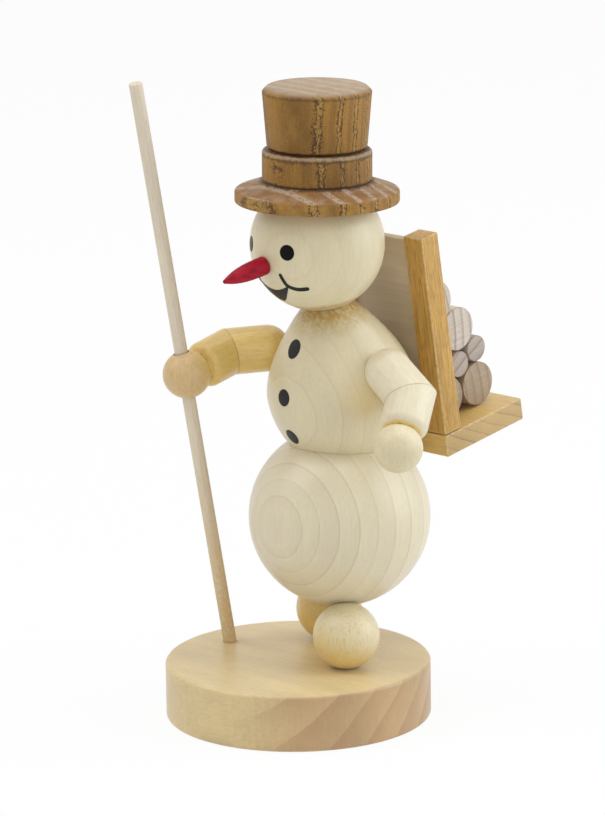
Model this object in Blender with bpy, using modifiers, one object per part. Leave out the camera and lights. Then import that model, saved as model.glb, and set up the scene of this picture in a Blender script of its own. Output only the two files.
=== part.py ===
"""Turned-wood snowman that walks with a staff and carries a stack of logs on its back.

Metres, +Z up. The figure faces -Y and its left is +X. The origin is the centre of the base's underside.
"""

import math

import bmesh
import bpy
from mathutils import Matrix, Vector

MM = 0.001
GAP = 0.3 * MM

# Base
BASE_RADIUS = 30 * MM
BASE_HEIGHT = 13 * MM
BASE_EDGE = 0.9 * MM

# Balls, where the figure stands on the base, and how the belly rests in hollows of the two feet
FIGURE_X = 3.6 * MM
FIGURE_Y = 10.1 * MM
BELLY_RADIUS = 20.5 * MM
FOOT_RADIUS = 7.5 * MM
FOOT_FLAT = 0.5 * MM
FOOT_HOLLOW = 0.4 * MM
FOOT_SPREAD = 9.7 * MM
STEP_LEFT = -7.6 * MM
STEP_RIGHT = 5.5 * MM
HEAD_RADIUS = 15 * MM
HAND_RADIUS = 5.55 * MM

# Torso, a pear turned about an axis that leans forward through the head's centre
LEAN = math.radians(11.2)
WAIST_PITCH = math.radians(7.8)
WAIST_LIFT = 0.09 * MM
TORSO_RADIUS = 16.75 * MM
TORSO_WIDEST = 9.8 * MM
TORSO_DEPTH_BELOW = 19.2 * MM
TORSO_TAPER = 25.5 * MM
TORSO_TAPER_POWER = 1.6
HEAD_RISE = 43.9 * MM

# Hat, a little askew on the head, measured up from the underside of its brim
HAT_TILT_BACK = math.radians(0.5)
HAT_TILT_LEFT = math.radians(0.5)
HAT_SINK = 9.3 * MM
BRIM_RADIUS = 18.3 * MM
BRIM_RISE = 4.85 * MM
RIM_HEIGHT = 2.65 * MM
RIM_ROUND = 0.8 * MM
RIM_EDGE = 0.4 * MM
BAND_RADIUS = 12.2 * MM
BAND_TOP = 11.8 * MM
BAND_BEVEL = 0.8 * MM
CROWN_RADIUS_LOW = 11.1 * MM
CROWN_RADIUS_HIGH = 12.15 * MM
HAT_GROOVE = 0.5 * MM
HAT_HEIGHT = 25.8 * MM
HAT_CHAMFER = 1.1 * MM

# Nose
NOSE_YAW = math.radians(-5.5)
NOSE_DROP = math.radians(11)
NOSE_RADIUS = 2.1 * MM
NOSE_LENGTH = 11.6 * MM
NOSE_TIP = 0.5 * MM
NOSE_FULLNESS = 3
NOSE_EDGE = 0.25 * MM
NOSE_TENON_RADIUS = 1.2 * MM
NOSE_TENON = 4 * MM

# Staff, which leans with the body, and its socket in the base
STAFF_RADIUS = 1.5 * MM
STAFF_X = -20.5 * MM
STAFF_Y = -2.1 * MM
STAFF_LEAN = math.radians(10.6)
STAFF_ABOVE_BASE = 135 * MM
STAFF_EDGE = 0.3 * MM
SOCKET_DEPTH = 5 * MM
STAFF_CLEARANCE = 0.35 * MM
HAND_UP_STAFF = 66.2 * MM
HAND_OFF_STAFF = 0.7 * MM

# Arms, each two lengths of dowel with a mitred elbow, a round shoulder and a dished, rounded wrist.
# The elbows are measured from the torso's origin, along its own axes.
ARM_RADIUS = 5.3 * MM
SHOULDER_REACH = 8.6 * MM
FOREARM_REACH = 13.31 * MM
WRIST_SEAT = 4.3 * MM
WRIST_ROUND = 2 * MM
ELBOW_LEFT_OUT = 24.7 * MM
ELBOW_LEFT_BACK = -1.85 * MM
ELBOW_LEFT_UP = 11.78 * MM
ELBOW_RIGHT_OUT = 24.0 * MM
ELBOW_RIGHT_BACK = -10.53 * MM
ELBOW_RIGHT_UP = 17.89 * MM
UPPER_ARM_LEFT = Vector((0.85, -0.04, -0.53)).normalized()
FOREARM_LEFT = Vector((0.35, -0.64, -0.68)).normalized()
UPPER_ARM_RIGHT = Vector((-0.68, -0.73, -0.08)).normalized()

# Carrier, measured from the torso's origin: x across, y back, z up its rails
CARRIER_YAW = math.radians(2.8)
CARRIER_LEAN = math.radians(9.2)
CARRIER_HALF_WIDTH = 14.9 * MM
CARRIER_FRONT = 15.7 * MM
SHELF_TOP = -5.9 * MM
SHELF_DEPTH = 26 * MM
SHELF_THICKNESS = 5.1 * MM
RAIL_WIDTH = 5.6 * MM
RAIL_DEPTH = 5.4 * MM
RAIL_LENGTH = 46.8 * MM
RAIL_GROOVE = 1.8 * MM
PANEL_THICKNESS = 1.8 * MM
PANEL_SET_BACK = 1.1 * MM
PANEL_DROP = 1.2 * MM
BOARD_EDGE = 0.3 * MM

# Logs: their radii, and how far behind the carrier's front the lower rear one lies
LOG_LARGE = 5 * MM
LOG_SMALL = 3 * MM
LOWER_REAR_LOG = 18.5 * MM

# Dowels
DOWEL_RADIUS = 2 * MM
DOWEL_DEPTH = 6.5 * MM
FOOT_DOWEL_RADIUS = 1.5 * MM
FOOT_DOWEL_DEPTH = 4.5 * MM
CARRIER_DOWEL_RADIUS = 1 * MM
CARRIER_DOWEL_RISE = 9 * MM
CARRIER_DOWEL_BITE = 1 * MM

# Facets
BALL_SEGMENTS = 36
SMALL_BALL_SEGMENTS = 22
BASE_SEGMENTS = 48
ROD_SEGMENTS = 22
DOWEL_SEGMENTS = 12
ARC_STEPS = 4

# Places that follow from these sizes, from the feet up
FOOT_RISE = BASE_HEIGHT + GAP + FOOT_RADIUS - FOOT_FLAT
FOOT_LEFT = Vector((FIGURE_X + FOOT_SPREAD, FIGURE_Y + STEP_LEFT, FOOT_RISE))
FOOT_RIGHT = Vector((FIGURE_X - FOOT_SPREAD, FIGURE_Y + STEP_RIGHT, FOOT_RISE))
FOOT_TO_BELLY = BELLY_RADIUS + FOOT_RADIUS - FOOT_HOLLOW
BELLY_RISE = math.sqrt(FOOT_TO_BELLY ** 2 - FOOT_SPREAD ** 2 - STEP_LEFT ** 2)
BELLY_CENTRE = Vector((FIGURE_X, FIGURE_Y, FOOT_RISE + BELLY_RISE))
WAIST = Vector((0, math.sin(WAIST_PITCH), math.cos(WAIST_PITCH)))
TORSO_ORIGIN = BELLY_CENTRE + WAIST * (BELLY_RADIUS + WAIST_LIFT)
TORSO_FRAME = Matrix.Translation(TORSO_ORIGIN) @ Matrix.Rotation(LEAN, 4, "X")
HEAD_CENTRE = TORSO_FRAME @ Vector((0, 0, HEAD_RISE))
HAT_FRAME = (
    Matrix.Translation(HEAD_CENTRE)
    @ Matrix.Rotation(-HAT_TILT_BACK, 4, "X")
    @ Matrix.Rotation(HAT_TILT_LEFT, 4, "Y")
)
STAFF_FRAME = Matrix.Translation((STAFF_X, STAFF_Y, BASE_HEIGHT)) @ Matrix.Rotation(STAFF_LEAN, 4, "X")
ELBOW_LEFT = TORSO_FRAME @ Vector((ELBOW_LEFT_OUT, ELBOW_LEFT_BACK, ELBOW_LEFT_UP))
HAND_LEFT = ELBOW_LEFT + FOREARM_LEFT * FOREARM_REACH
ELBOW_RIGHT = TORSO_FRAME @ Vector((-ELBOW_RIGHT_OUT, ELBOW_RIGHT_BACK, ELBOW_RIGHT_UP))
HAND_RIGHT = STAFF_FRAME @ Vector((HAND_OFF_STAFF, 0, HAND_UP_STAFF))
CARRIER_FRAME = (
    Matrix.Translation(TORSO_ORIGIN)
    @ Matrix.Rotation(CARRIER_YAW, 4, "Z")
    @ Matrix.Rotation(CARRIER_LEAN, 4, "X")
    @ Matrix.Translation((0, CARRIER_FRONT, SHELF_TOP))
)

for old in list(bpy.data.objects):
    bpy.data.objects.remove(old, do_unlink=True)
PARTS = bpy.data.collections.new("wooden_snowman")
CUTTERS = bpy.data.collections.new("cutters")
bpy.context.scene.collection.children.link(PARTS)
bpy.context.scene.collection.children.link(CUTTERS)


def wood(name, colour, roughness=0.55):
    """Make a plain Principled material in a wood's mean colour."""
    material = bpy.data.materials.new(name)
    material.use_nodes = True
    shader = material.node_tree.nodes["Principled BSDF"]
    shader.inputs["Base Color"].default_value = (*colour, 1)
    shader.inputs["Roughness"].default_value = roughness
    return material


PALE_WOOD = (0.72, 0.55, 0.34)
GOLDEN_WOOD = (0.68, 0.45, 0.20)
BROWN_WOOD = (0.36, 0.18, 0.07)
ORANGE_WOOD = (0.55, 0.28, 0.11)
LOG_WOOD = (0.50, 0.33, 0.22)
NOSE_PAINT = (0.42, 0.02, 0.04)


def file_part(obj, name, colour):
    """Name a finished piece, give it its own material and put it in the parts' collection."""
    obj.name = name
    obj.data.name = name
    obj.data.materials.clear()
    obj.data.materials.append(wood(name, colour))
    move_to(obj, PARTS)
    return obj


def file_cutter(obj, name):
    """Hide a cutting body in its own collection."""
    obj.name = name
    obj.hide_render = True
    obj.display_type = "WIRE"
    move_to(obj, CUTTERS)
    return obj


def move_to(obj, collection):
    for holder in list(obj.users_collection):
        holder.objects.unlink(obj)
    collection.objects.link(obj)


def cut(obj, cutter):
    """Take one body away from another."""
    modifier = obj.modifiers.new(cutter.name, "BOOLEAN")
    modifier.operation = "DIFFERENCE"
    modifier.solver = "EXACT"
    modifier.object = cutter


def shade_round(obj):
    for face in obj.data.polygons:
        face.use_smooth = True
    return obj


def arc(centre, radius, start, end, steps=ARC_STEPS):
    """Points of a circular arc in a turned profile, angles in degrees from +X."""
    points = []
    for step in range(steps + 1):
        angle = math.radians(start + (end - start) * step / steps)
        points.append((centre[0] + radius * math.cos(angle), centre[1] + radius * math.sin(angle)))
    return points


def turned(profile, segments, place):
    """Turn a profile about the piece's own Z axis and put it in its place."""
    mesh = bpy.data.meshes.new("profile")
    body = bmesh.new()
    points = [body.verts.new((radius, 0, height)) for radius, height in profile]
    for first, second in zip(points, points[1:]):
        body.edges.new((first, second))
    body.to_mesh(mesh)
    body.free()
    obj = bpy.data.objects.new("turned", mesh)
    bpy.context.scene.collection.objects.link(obj)
    screw = obj.modifiers.new("turn", "SCREW")
    screw.axis = "Z"
    screw.steps = segments
    screw.render_steps = segments
    screw.use_merge_vertices = True
    screw.merge_threshold = 0.00001
    screw.use_smooth_shade = True
    obj.matrix_world = place
    return obj


def ball(radius, centre, segments):
    bpy.ops.mesh.primitive_uv_sphere_add(segments=segments, ring_count=segments // 2, radius=radius)
    obj = bpy.context.object
    obj.location = centre
    return shade_round(obj)


def rod(radius, length, place, segments=ROD_SEGMENTS):
    """A plain cylinder that starts at its frame's origin and runs along +Z."""
    bpy.ops.mesh.primitive_cylinder_add(vertices=segments, radius=radius, depth=length)
    obj = bpy.context.object
    obj.data.transform(Matrix.Translation((0, 0, length / 2)))
    obj.matrix_world = place
    return obj


def board(size, low_corner, place, edge=BOARD_EDGE):
    """A box from its low corner, with softened edges."""
    bpy.ops.mesh.primitive_cube_add(size=1)
    obj = bpy.context.object
    obj.data.transform(Matrix.Diagonal((*size, 1)))
    obj.data.transform(Matrix.Translation(Vector(low_corner) + Vector(size) / 2))
    obj.matrix_world = place
    bevel = obj.modifiers.new("edges", "BEVEL")
    bevel.width = edge
    bevel.segments = 1
    return obj


def along(start, direction):
    """A frame at a point with its Z axis along a direction."""
    return Matrix.Translation(start) @ direction.to_track_quat("Z", "Y").to_matrix().to_4x4()


def dowel(name, start, end, radius, hosts):
    """A hidden pin between two points, and its bore in the pieces that it joins."""
    direction = (end - start).normalized()
    length = (end - start).length
    pin = rod(radius, length, along(start, direction), DOWEL_SEGMENTS)
    file_part(pin, name, PALE_WOOD)
    bore_start = start - direction * GAP
    bore = rod(radius + GAP, length + 2 * GAP, along(bore_start, direction), DOWEL_SEGMENTS)
    file_cutter(bore, name + "_bore")
    for host in hosts:
        cut(host, bore)
    return pin


def torso_radius(height):
    """The pear's radius: half an ellipse below its widest ring and a power curve above it."""
    rise = height - TORSO_WIDEST
    if rise < 0:
        return TORSO_RADIUS * math.sqrt(max(0.0, 1 - (rise / TORSO_DEPTH_BELOW) ** 2))
    return TORSO_RADIUS * (1 - (rise / TORSO_TAPER) ** TORSO_TAPER_POWER)


def torso_outline(bottom, top, margin, steps=14):
    """The pear's side from top to bottom, pushed out by a margin."""
    points = []
    for step in range(steps + 1):
        height = top + (bottom - top) * step / steps
        points.append((torso_radius(height) + margin, height))
    return points


def build_base():
    flat = BASE_RADIUS - BASE_EDGE
    profile = [(0, BASE_HEIGHT)]
    profile += arc((flat, BASE_HEIGHT - BASE_EDGE), BASE_EDGE, 90, 0, 3)
    profile += arc((flat, BASE_EDGE), BASE_EDGE, 0, -90, 3)
    profile += [(0, 0)]
    base = turned(profile, BASE_SEGMENTS, Matrix.Identity(4))
    socket_place = STAFF_FRAME @ Matrix.Translation((0, 0, -SOCKET_DEPTH))
    socket = rod(STAFF_RADIUS + STAFF_CLEARANCE, SOCKET_DEPTH * 2, socket_place, ROD_SEGMENTS)
    cut(base, file_cutter(socket, "staff_socket"))
    return file_part(base, "base_disc", GOLDEN_WOOD)


def build_belly():
    belly = ball(BELLY_RADIUS, BELLY_CENTRE, BALL_SEGMENTS)
    return file_part(belly, "belly_ball", PALE_WOOD)


def build_foot(side, centre, belly, belly_room):
    """A ball with a flat on the base, hollowed where the belly rests on it and pinned to it."""
    flat_angle = math.degrees(math.asin(1 - FOOT_FLAT / FOOT_RADIUS))
    profile = arc((0, 0), FOOT_RADIUS, 90, -flat_angle, 10)
    profile += [(0, FOOT_FLAT - FOOT_RADIUS)]
    foot = turned(profile, SMALL_BALL_SEGMENTS, Matrix.Translation(centre))
    cut(foot, belly_room)
    file_part(foot, "foot_" + side, PALE_WOOD)
    towards_belly = (BELLY_CENTRE - centre).normalized()
    contact = BELLY_CENTRE - towards_belly * BELLY_RADIUS
    reach = towards_belly * FOOT_DOWEL_DEPTH
    dowel("foot_dowel_" + side, contact - reach, contact + reach, FOOT_DOWEL_RADIUS, (foot, belly))


def build_torso(belly, belly_room):
    """The pear, with a round hollow on top for the head and one below for the belly."""
    seat = HEAD_RADIUS + GAP
    neck = HEAD_RISE - math.sqrt(seat ** 2 - torso_radius(HEAD_RISE - seat + GAP) ** 2)
    neck_radius = torso_radius(neck)
    neck_angle = math.degrees(math.asin(neck_radius / seat))
    bottom = TORSO_WIDEST - TORSO_DEPTH_BELOW
    profile = arc((0, HEAD_RISE), seat, -90, neck_angle - 90)
    profile += torso_outline(bottom, neck, 0)[1:]
    torso = turned(profile, BALL_SEGMENTS, TORSO_FRAME)
    cut(torso, belly_room)
    file_part(torso, "torso", PALE_WOOD)
    waist = TORSO_FRAME @ Vector((0, 0, -DOWEL_DEPTH))
    waist_top = TORSO_FRAME @ Vector((0, 0, DOWEL_DEPTH))
    dowel("waist_dowel", waist, waist_top, DOWEL_RADIUS, (torso, belly))
    return torso


def build_head(torso):
    """The head, with a flat on top for the hat, its neck pin and its nose."""
    flat_angle = math.degrees(math.asin(HAT_SINK / HEAD_RADIUS))
    profile = [(0, HAT_SINK)] + arc((0, 0), HEAD_RADIUS, flat_angle, -90, 14)
    head = turned(profile, BALL_SEGMENTS, HAT_FRAME)
    file_part(head, "head_ball", PALE_WOOD)
    neck = HEAD_RISE - HEAD_RADIUS
    low = TORSO_FRAME @ Vector((0, 0, neck - DOWEL_DEPTH))
    high = TORSO_FRAME @ Vector((0, 0, neck + DOWEL_DEPTH))
    dowel("neck_dowel", low, high, DOWEL_RADIUS, (torso, head))
    build_nose(head)
    return head


def build_nose(head):
    """A blunt carrot, turned with a tenon that is glued into the head."""
    forward = Vector((
        math.sin(NOSE_YAW) * math.cos(NOSE_DROP),
        -math.cos(NOSE_YAW) * math.cos(NOSE_DROP),
        -math.sin(NOSE_DROP),
    ))
    place = along(HEAD_CENTRE + forward * (HEAD_RADIUS + GAP), forward)
    steps = 7
    profile = [(0, NOSE_LENGTH)]
    for step in range(steps + 1):
        left = 1 - step / steps
        radius = NOSE_RADIUS - (NOSE_RADIUS - NOSE_TIP) * left ** NOSE_FULLNESS
        profile.append((radius, NOSE_EDGE + (NOSE_LENGTH - NOSE_TIP - NOSE_EDGE) * left))
    profile += [
        (NOSE_RADIUS - NOSE_EDGE, 0),
        (NOSE_TENON_RADIUS, 0),
        (NOSE_TENON_RADIUS, -NOSE_TENON),
        (0, -NOSE_TENON),
    ]
    nose = turned(profile, DOWEL_SEGMENTS + 4, place)
    file_part(nose, "nose", NOSE_PAINT)
    mortise_place = place @ Matrix.Translation((0, 0, -NOSE_TENON - GAP))
    mortise = rod(NOSE_TENON_RADIUS + GAP, NOSE_TENON * 2, mortise_place, DOWEL_SEGMENTS)
    cut(head, file_cutter(mortise, "nose_mortise"))
    spot = rod(NOSE_RADIUS + GAP, HEAD_RADIUS, place @ Matrix.Translation((0, 0, -GAP)), DOWEL_SEGMENTS + 4)
    cut(head, file_cutter(spot, "nose_spot_face"))


def build_hat(head):
    """The hat: an upright rim, a brim that slopes up to a bevelled band, a groove and a flared crown."""
    slope = math.atan2(BRIM_RISE - RIM_HEIGHT, BRIM_RADIUS - BAND_RADIUS)
    round_height = RIM_HEIGHT - RIM_ROUND * (1 - math.sin(slope)) / math.cos(slope)
    profile = [
        (0, HAT_HEIGHT),
        (CROWN_RADIUS_HIGH - HAT_CHAMFER, HAT_HEIGHT),
        (CROWN_RADIUS_HIGH, HAT_HEIGHT - HAT_CHAMFER),
        (CROWN_RADIUS_LOW, BAND_TOP + HAT_GROOVE),
        (CROWN_RADIUS_LOW - HAT_GROOVE, BAND_TOP),
        (BAND_RADIUS - BAND_BEVEL, BAND_TOP),
        (BAND_RADIUS, BAND_TOP - BAND_BEVEL),
        (BAND_RADIUS, BRIM_RISE),
    ]
    profile += arc((BRIM_RADIUS - RIM_ROUND, round_height), RIM_ROUND, 90 - math.degrees(slope), 0, 3)
    profile += arc((BRIM_RADIUS - RIM_EDGE, RIM_EDGE), RIM_EDGE, 0, -90, 2)
    profile += [(0, 0)]
    hat = turned(profile, BALL_SEGMENTS + 4, HAT_FRAME @ Matrix.Translation((0, 0, HAT_SINK + GAP)))
    file_part(hat, "hat", BROWN_WOOD)
    low = HAT_FRAME @ Vector((0, 0, HAT_SINK - DOWEL_DEPTH))
    high = HAT_FRAME @ Vector((0, 0, HAT_SINK + DOWEL_DEPTH))
    dowel("hat_dowel", low, high, DOWEL_RADIUS, (head, hat))


def half_space(name, point, normal):
    """A block that cuts away all of an arm's end on the far side of a plane."""
    size = 6 * ARM_RADIUS
    bpy.ops.mesh.primitive_cube_add(size=size)
    block = bpy.context.object
    block.data.transform(Matrix.Translation((0, 0, size / 2)))
    block.matrix_world = along(point, normal)
    return file_cutter(block, name)


def wrist_outline():
    """A forearm's rounded end, measured from its hand's centre, and the dish that the hand sits in."""
    room = HAND_RADIUS + GAP
    centre = Vector((ARM_RADIUS - WRIST_ROUND, WRIST_SEAT + WRIST_ROUND))
    reach = (room ** 2 - centre.length_squared - WRIST_ROUND ** 2) / (2 * WRIST_ROUND * centre.length)
    lip_angle = math.degrees(math.atan2(centre.y, centre.x) - math.acos(reach))
    rounding = arc(centre, WRIST_ROUND, 0, lip_angle)
    lip_radius, lip_height = rounding[-1]
    return rounding + arc((0, 0), room, math.degrees(math.atan2(lip_height, lip_radius)), 90)[1:]


def build_arm(side, upper, elbow, hand_centre, torso_room, colour):
    """An upper arm with a round shoulder let into the torso, and a forearm dished for its hand."""
    fore = (hand_centre - elbow).normalized()
    mitre = (upper + fore).normalized()
    spare = ARM_RADIUS
    profile = [(0, SHOULDER_REACH + spare), (ARM_RADIUS, SHOULDER_REACH + spare)]
    profile += arc((0, 0), ARM_RADIUS, 0, -90, 6)
    upper_arm = turned(profile, ROD_SEGMENTS, along(elbow - upper * SHOULDER_REACH, upper))
    cut(upper_arm, half_space("mitre_upper_" + side, elbow - mitre * GAP / 2, mitre))
    cut(upper_arm, torso_room)
    file_part(upper_arm, "upper_arm_" + side, colour)
    elbow_end = (hand_centre - elbow).length + spare
    profile = [(0, elbow_end), (ARM_RADIUS, elbow_end)] + wrist_outline()
    forearm = turned(profile, ROD_SEGMENTS, along(hand_centre, -fore))
    cut(forearm, half_space("mitre_fore_" + side, elbow + mitre * GAP / 2, -mitre))
    file_part(forearm, "forearm_" + side, colour)


def build_hands():
    left = ball(HAND_RADIUS, HAND_LEFT, SMALL_BALL_SEGMENTS)
    file_part(left, "hand_left", PALE_WOOD)
    right = ball(HAND_RADIUS, HAND_RIGHT, SMALL_BALL_SEGMENTS)
    bore_place = STAFF_FRAME @ Matrix.Translation((0, 0, HAND_UP_STAFF - 2 * HAND_RADIUS))
    bore = rod(STAFF_RADIUS + STAFF_CLEARANCE, 4 * HAND_RADIUS, bore_place, ROD_SEGMENTS)
    cut(right, file_cutter(bore, "staff_bore"))
    file_part(right, "hand_right", GOLDEN_WOOD)


def build_staff():
    foot = GAP - SOCKET_DEPTH
    flat = STAFF_RADIUS - STAFF_EDGE
    profile = [
        (0, STAFF_ABOVE_BASE),
        (flat, STAFF_ABOVE_BASE),
        (STAFF_RADIUS, STAFF_ABOVE_BASE - STAFF_EDGE),
        (STAFF_RADIUS, foot + STAFF_EDGE),
        (flat, foot),
        (0, foot),
    ]
    staff = turned(profile, ROD_SEGMENTS - 6, STAFF_FRAME)
    file_part(staff, "staff", LOG_WOOD)


def build_rail(side, sign):
    """A square rail with a groove down its inner face for the panel."""
    outer = CARRIER_HALF_WIDTH
    inner = outer - RAIL_WIDTH
    groove = inner + RAIL_GROOVE
    groove_front = PANEL_SET_BACK - GAP
    groove_back = PANEL_SET_BACK + PANEL_THICKNESS + GAP
    outline = [
        (inner, 0),
        (outer, 0),
        (outer, RAIL_DEPTH),
        (inner, RAIL_DEPTH),
        (inner, groove_back),
        (groove, groove_back),
        (groove, groove_front),
        (inner, groove_front),
    ]
    mesh = bpy.data.meshes.new("rail")
    body = bmesh.new()
    face = body.faces.new([body.verts.new((sign * x, y, GAP)) for x, y in outline])
    sweep = bmesh.ops.extrude_face_region(body, geom=[face])
    lifted = [item for item in sweep["geom"] if isinstance(item, bmesh.types.BMVert)]
    bmesh.ops.translate(body, verts=lifted, vec=(0, 0, RAIL_LENGTH))
    bmesh.ops.recalc_face_normals(body, faces=body.faces)
    body.to_mesh(mesh)
    body.free()
    rail = bpy.data.objects.new("rail", mesh)
    bpy.context.scene.collection.objects.link(rail)
    rail.matrix_world = CARRIER_FRAME
    file_part(rail, "carrier_rail_" + side, ORANGE_WOOD)


def build_carrier(torso):
    """The shelf, its two rails, the panel let into them and the pin that holds it to the torso."""
    width = 2 * CARRIER_HALF_WIDTH
    shelf = board(
        (width, SHELF_DEPTH, SHELF_THICKNESS),
        (-CARRIER_HALF_WIDTH, 0, -SHELF_THICKNESS),
        CARRIER_FRAME,
    )
    file_part(shelf, "carrier_shelf", ORANGE_WOOD)
    build_rail("left", 1)
    build_rail("right", -1)
    panel_half = CARRIER_HALF_WIDTH - RAIL_WIDTH + RAIL_GROOVE - GAP
    panel_height = RAIL_LENGTH - PANEL_DROP
    panel = board(
        (2 * panel_half, PANEL_THICKNESS, panel_height),
        (-panel_half, PANEL_SET_BACK, GAP),
        CARRIER_FRAME,
        BOARD_EDGE / 2,
    )
    file_part(panel, "carrier_panel", PALE_WOOD)
    rise = CARRIER_DOWEL_RISE - SHELF_TOP
    back = CARRIER_FRAME @ Vector((0, PANEL_SET_BACK + CARRIER_DOWEL_BITE, rise))
    front = CARRIER_FRAME @ Vector((0, PANEL_SET_BACK - DOWEL_DEPTH, rise))
    dowel("carrier_dowel", front, back, CARRIER_DOWEL_RADIUS, (torso, panel))


def resting_on(first, second, radius):
    """Centre of a log that lies in the dip between two logs, each given as (y, z, radius)."""
    a = Vector(first[:2])
    b = Vector(second[:2])
    reach_a = first[2] + radius + GAP
    reach_b = second[2] + radius + GAP
    apart = (b - a).length
    share = (reach_a ** 2 - reach_b ** 2 + apart ** 2) / (2 * apart)
    height = math.sqrt(reach_a ** 2 - share ** 2)
    direction = (b - a).normalized()
    upward = Vector((-direction.y, direction.x))
    centre = a + direction * share + upward * height
    return (centre.x, centre.y, radius)


def build_logs():
    """Six logs: two on the shelf, two small ones in the dips, one on those and one against the panel."""
    floor = LOG_LARGE + GAP
    rear = (LOWER_REAR_LOG, floor, LOG_LARGE)
    apart = 2 * LOG_LARGE + GAP
    front = (LOWER_REAR_LOG - apart, floor, LOG_LARGE)
    middle_front = resting_on(front, rear, LOG_SMALL)
    middle_rear = resting_on(middle_front, rear, LOG_SMALL)
    upper = resting_on(middle_front, middle_rear, LOG_LARGE)
    top_y = PANEL_SET_BACK + PANEL_THICKNESS + GAP + LOG_LARGE
    top = (top_y, upper[1] + math.sqrt(apart ** 2 - (upper[0] - top_y) ** 2), LOG_LARGE)
    stack = {
        "log_lower_front": front,
        "log_lower_rear": rear,
        "log_middle_front": middle_front,
        "log_middle_rear": middle_rear,
        "log_upper": upper,
        "log_top": top,
    }
    half = CARRIER_HALF_WIDTH - RAIL_WIDTH - GAP
    for name, (y, z, radius) in stack.items():
        place = CARRIER_FRAME @ Matrix.Translation((-half, y, z)) @ Matrix.Rotation(math.pi / 2, 4, "Y")
        log = rod(radius, 2 * half, place, ROD_SEGMENTS)
        file_part(log, name, LOG_WOOD)


def main():
    build_base()
    belly = build_belly()
    belly_room = file_cutter(ball(BELLY_RADIUS + GAP, BELLY_CENTRE, BALL_SEGMENTS), "belly_room")
    build_foot("left", FOOT_LEFT, belly, belly_room)
    build_foot("right", FOOT_RIGHT, belly, belly_room)
    torso = build_torso(belly, belly_room)
    head = build_head(torso)
    build_hat(head)
    outline = torso_outline(TORSO_WIDEST - TORSO_DEPTH_BELOW, HEAD_RISE - HEAD_RADIUS, GAP)
    outline = [(0, outline[0][1])] + outline + [(0, outline[-1][1])]
    torso_room = file_cutter(turned(outline, BALL_SEGMENTS, TORSO_FRAME), "torso_room")
    build_arm("left", UPPER_ARM_LEFT, ELBOW_LEFT, HAND_LEFT, torso_room, PALE_WOOD)
    build_arm("right", UPPER_ARM_RIGHT, ELBOW_RIGHT, HAND_RIGHT, torso_room, GOLDEN_WOOD)
    build_hands()
    build_staff()
    build_carrier(torso)
    build_logs()


main()
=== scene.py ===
"""Looks of the turned-wood snowman: fine turned pieces, sawn boards, painted face and solid wood grain.

Metres, +Z up. The figure faces -Y and its left is +X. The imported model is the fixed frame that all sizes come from.
"""

import math

import bpy
import numpy as np
from bpy.props import FloatProperty, FloatVectorProperty, IntProperty, PointerProperty
from mathutils import Euler, Matrix, Vector


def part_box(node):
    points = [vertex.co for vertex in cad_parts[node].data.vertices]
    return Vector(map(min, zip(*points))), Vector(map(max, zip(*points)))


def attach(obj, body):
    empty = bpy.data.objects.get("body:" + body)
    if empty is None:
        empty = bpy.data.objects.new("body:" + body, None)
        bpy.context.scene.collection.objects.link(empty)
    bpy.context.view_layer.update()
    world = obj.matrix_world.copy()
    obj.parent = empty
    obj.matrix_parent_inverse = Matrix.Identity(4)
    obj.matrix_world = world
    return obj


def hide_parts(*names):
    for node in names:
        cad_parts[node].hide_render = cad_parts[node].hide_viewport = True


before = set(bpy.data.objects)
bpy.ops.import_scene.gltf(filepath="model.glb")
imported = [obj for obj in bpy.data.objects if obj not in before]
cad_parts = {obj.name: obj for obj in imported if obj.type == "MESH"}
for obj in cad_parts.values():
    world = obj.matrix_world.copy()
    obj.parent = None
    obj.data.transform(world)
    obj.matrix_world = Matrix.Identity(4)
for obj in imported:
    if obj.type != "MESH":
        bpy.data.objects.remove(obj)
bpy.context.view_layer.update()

bl_info = {
    "name": "Wooden Snowman",
    "version": (1, 0, 0),
    "blender": (4, 5, 0),
    "location": "3D View > Sidebar > Snowman",
    "description": "Builds the looks of a turned-wood snowman with a staff and a log carrier",
    "category": "Object",
}

MM = 0.001
FIT = 0.06 * MM
PAINT_LIFT = 0.035 * MM
PAINT_DEPTH = 0.07 * MM
SMOOTH_BELOW = math.radians(32)
ROOM_STEPS = 80
ROUND = 1000.0
WRIST_STEPS = 10


def length(name, description, millimetres):
    """A size in metres that the sidebar shows in scene units."""
    return FloatProperty(name=name, description=description, default=millimetres * MM, unit="LENGTH", precision=5)


def angle(name, description, degrees):
    return FloatProperty(name=name, description=description, default=math.radians(degrees), subtype="ANGLE")


def place(name, description, millimetres):
    return FloatVectorProperty(
        name=name,
        description=description,
        default=[value * MM for value in millimetres],
        subtype="TRANSLATION",
        unit="LENGTH",
    )


def colour(name, description, shade):
    """A paint or wood colour, written as the 0 to 255 shade that a screen shows."""
    return FloatVectorProperty(
        name=name,
        description=description,
        default=[linear(value) for value in shade],
        subtype="COLOR",
        min=0,
        max=1,
    )


def linear(value):
    share = value / 255
    if share <= 0.04045:
        return share / 12.92
    return ((share + 0.055) / 1.055) ** 2.4


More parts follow.
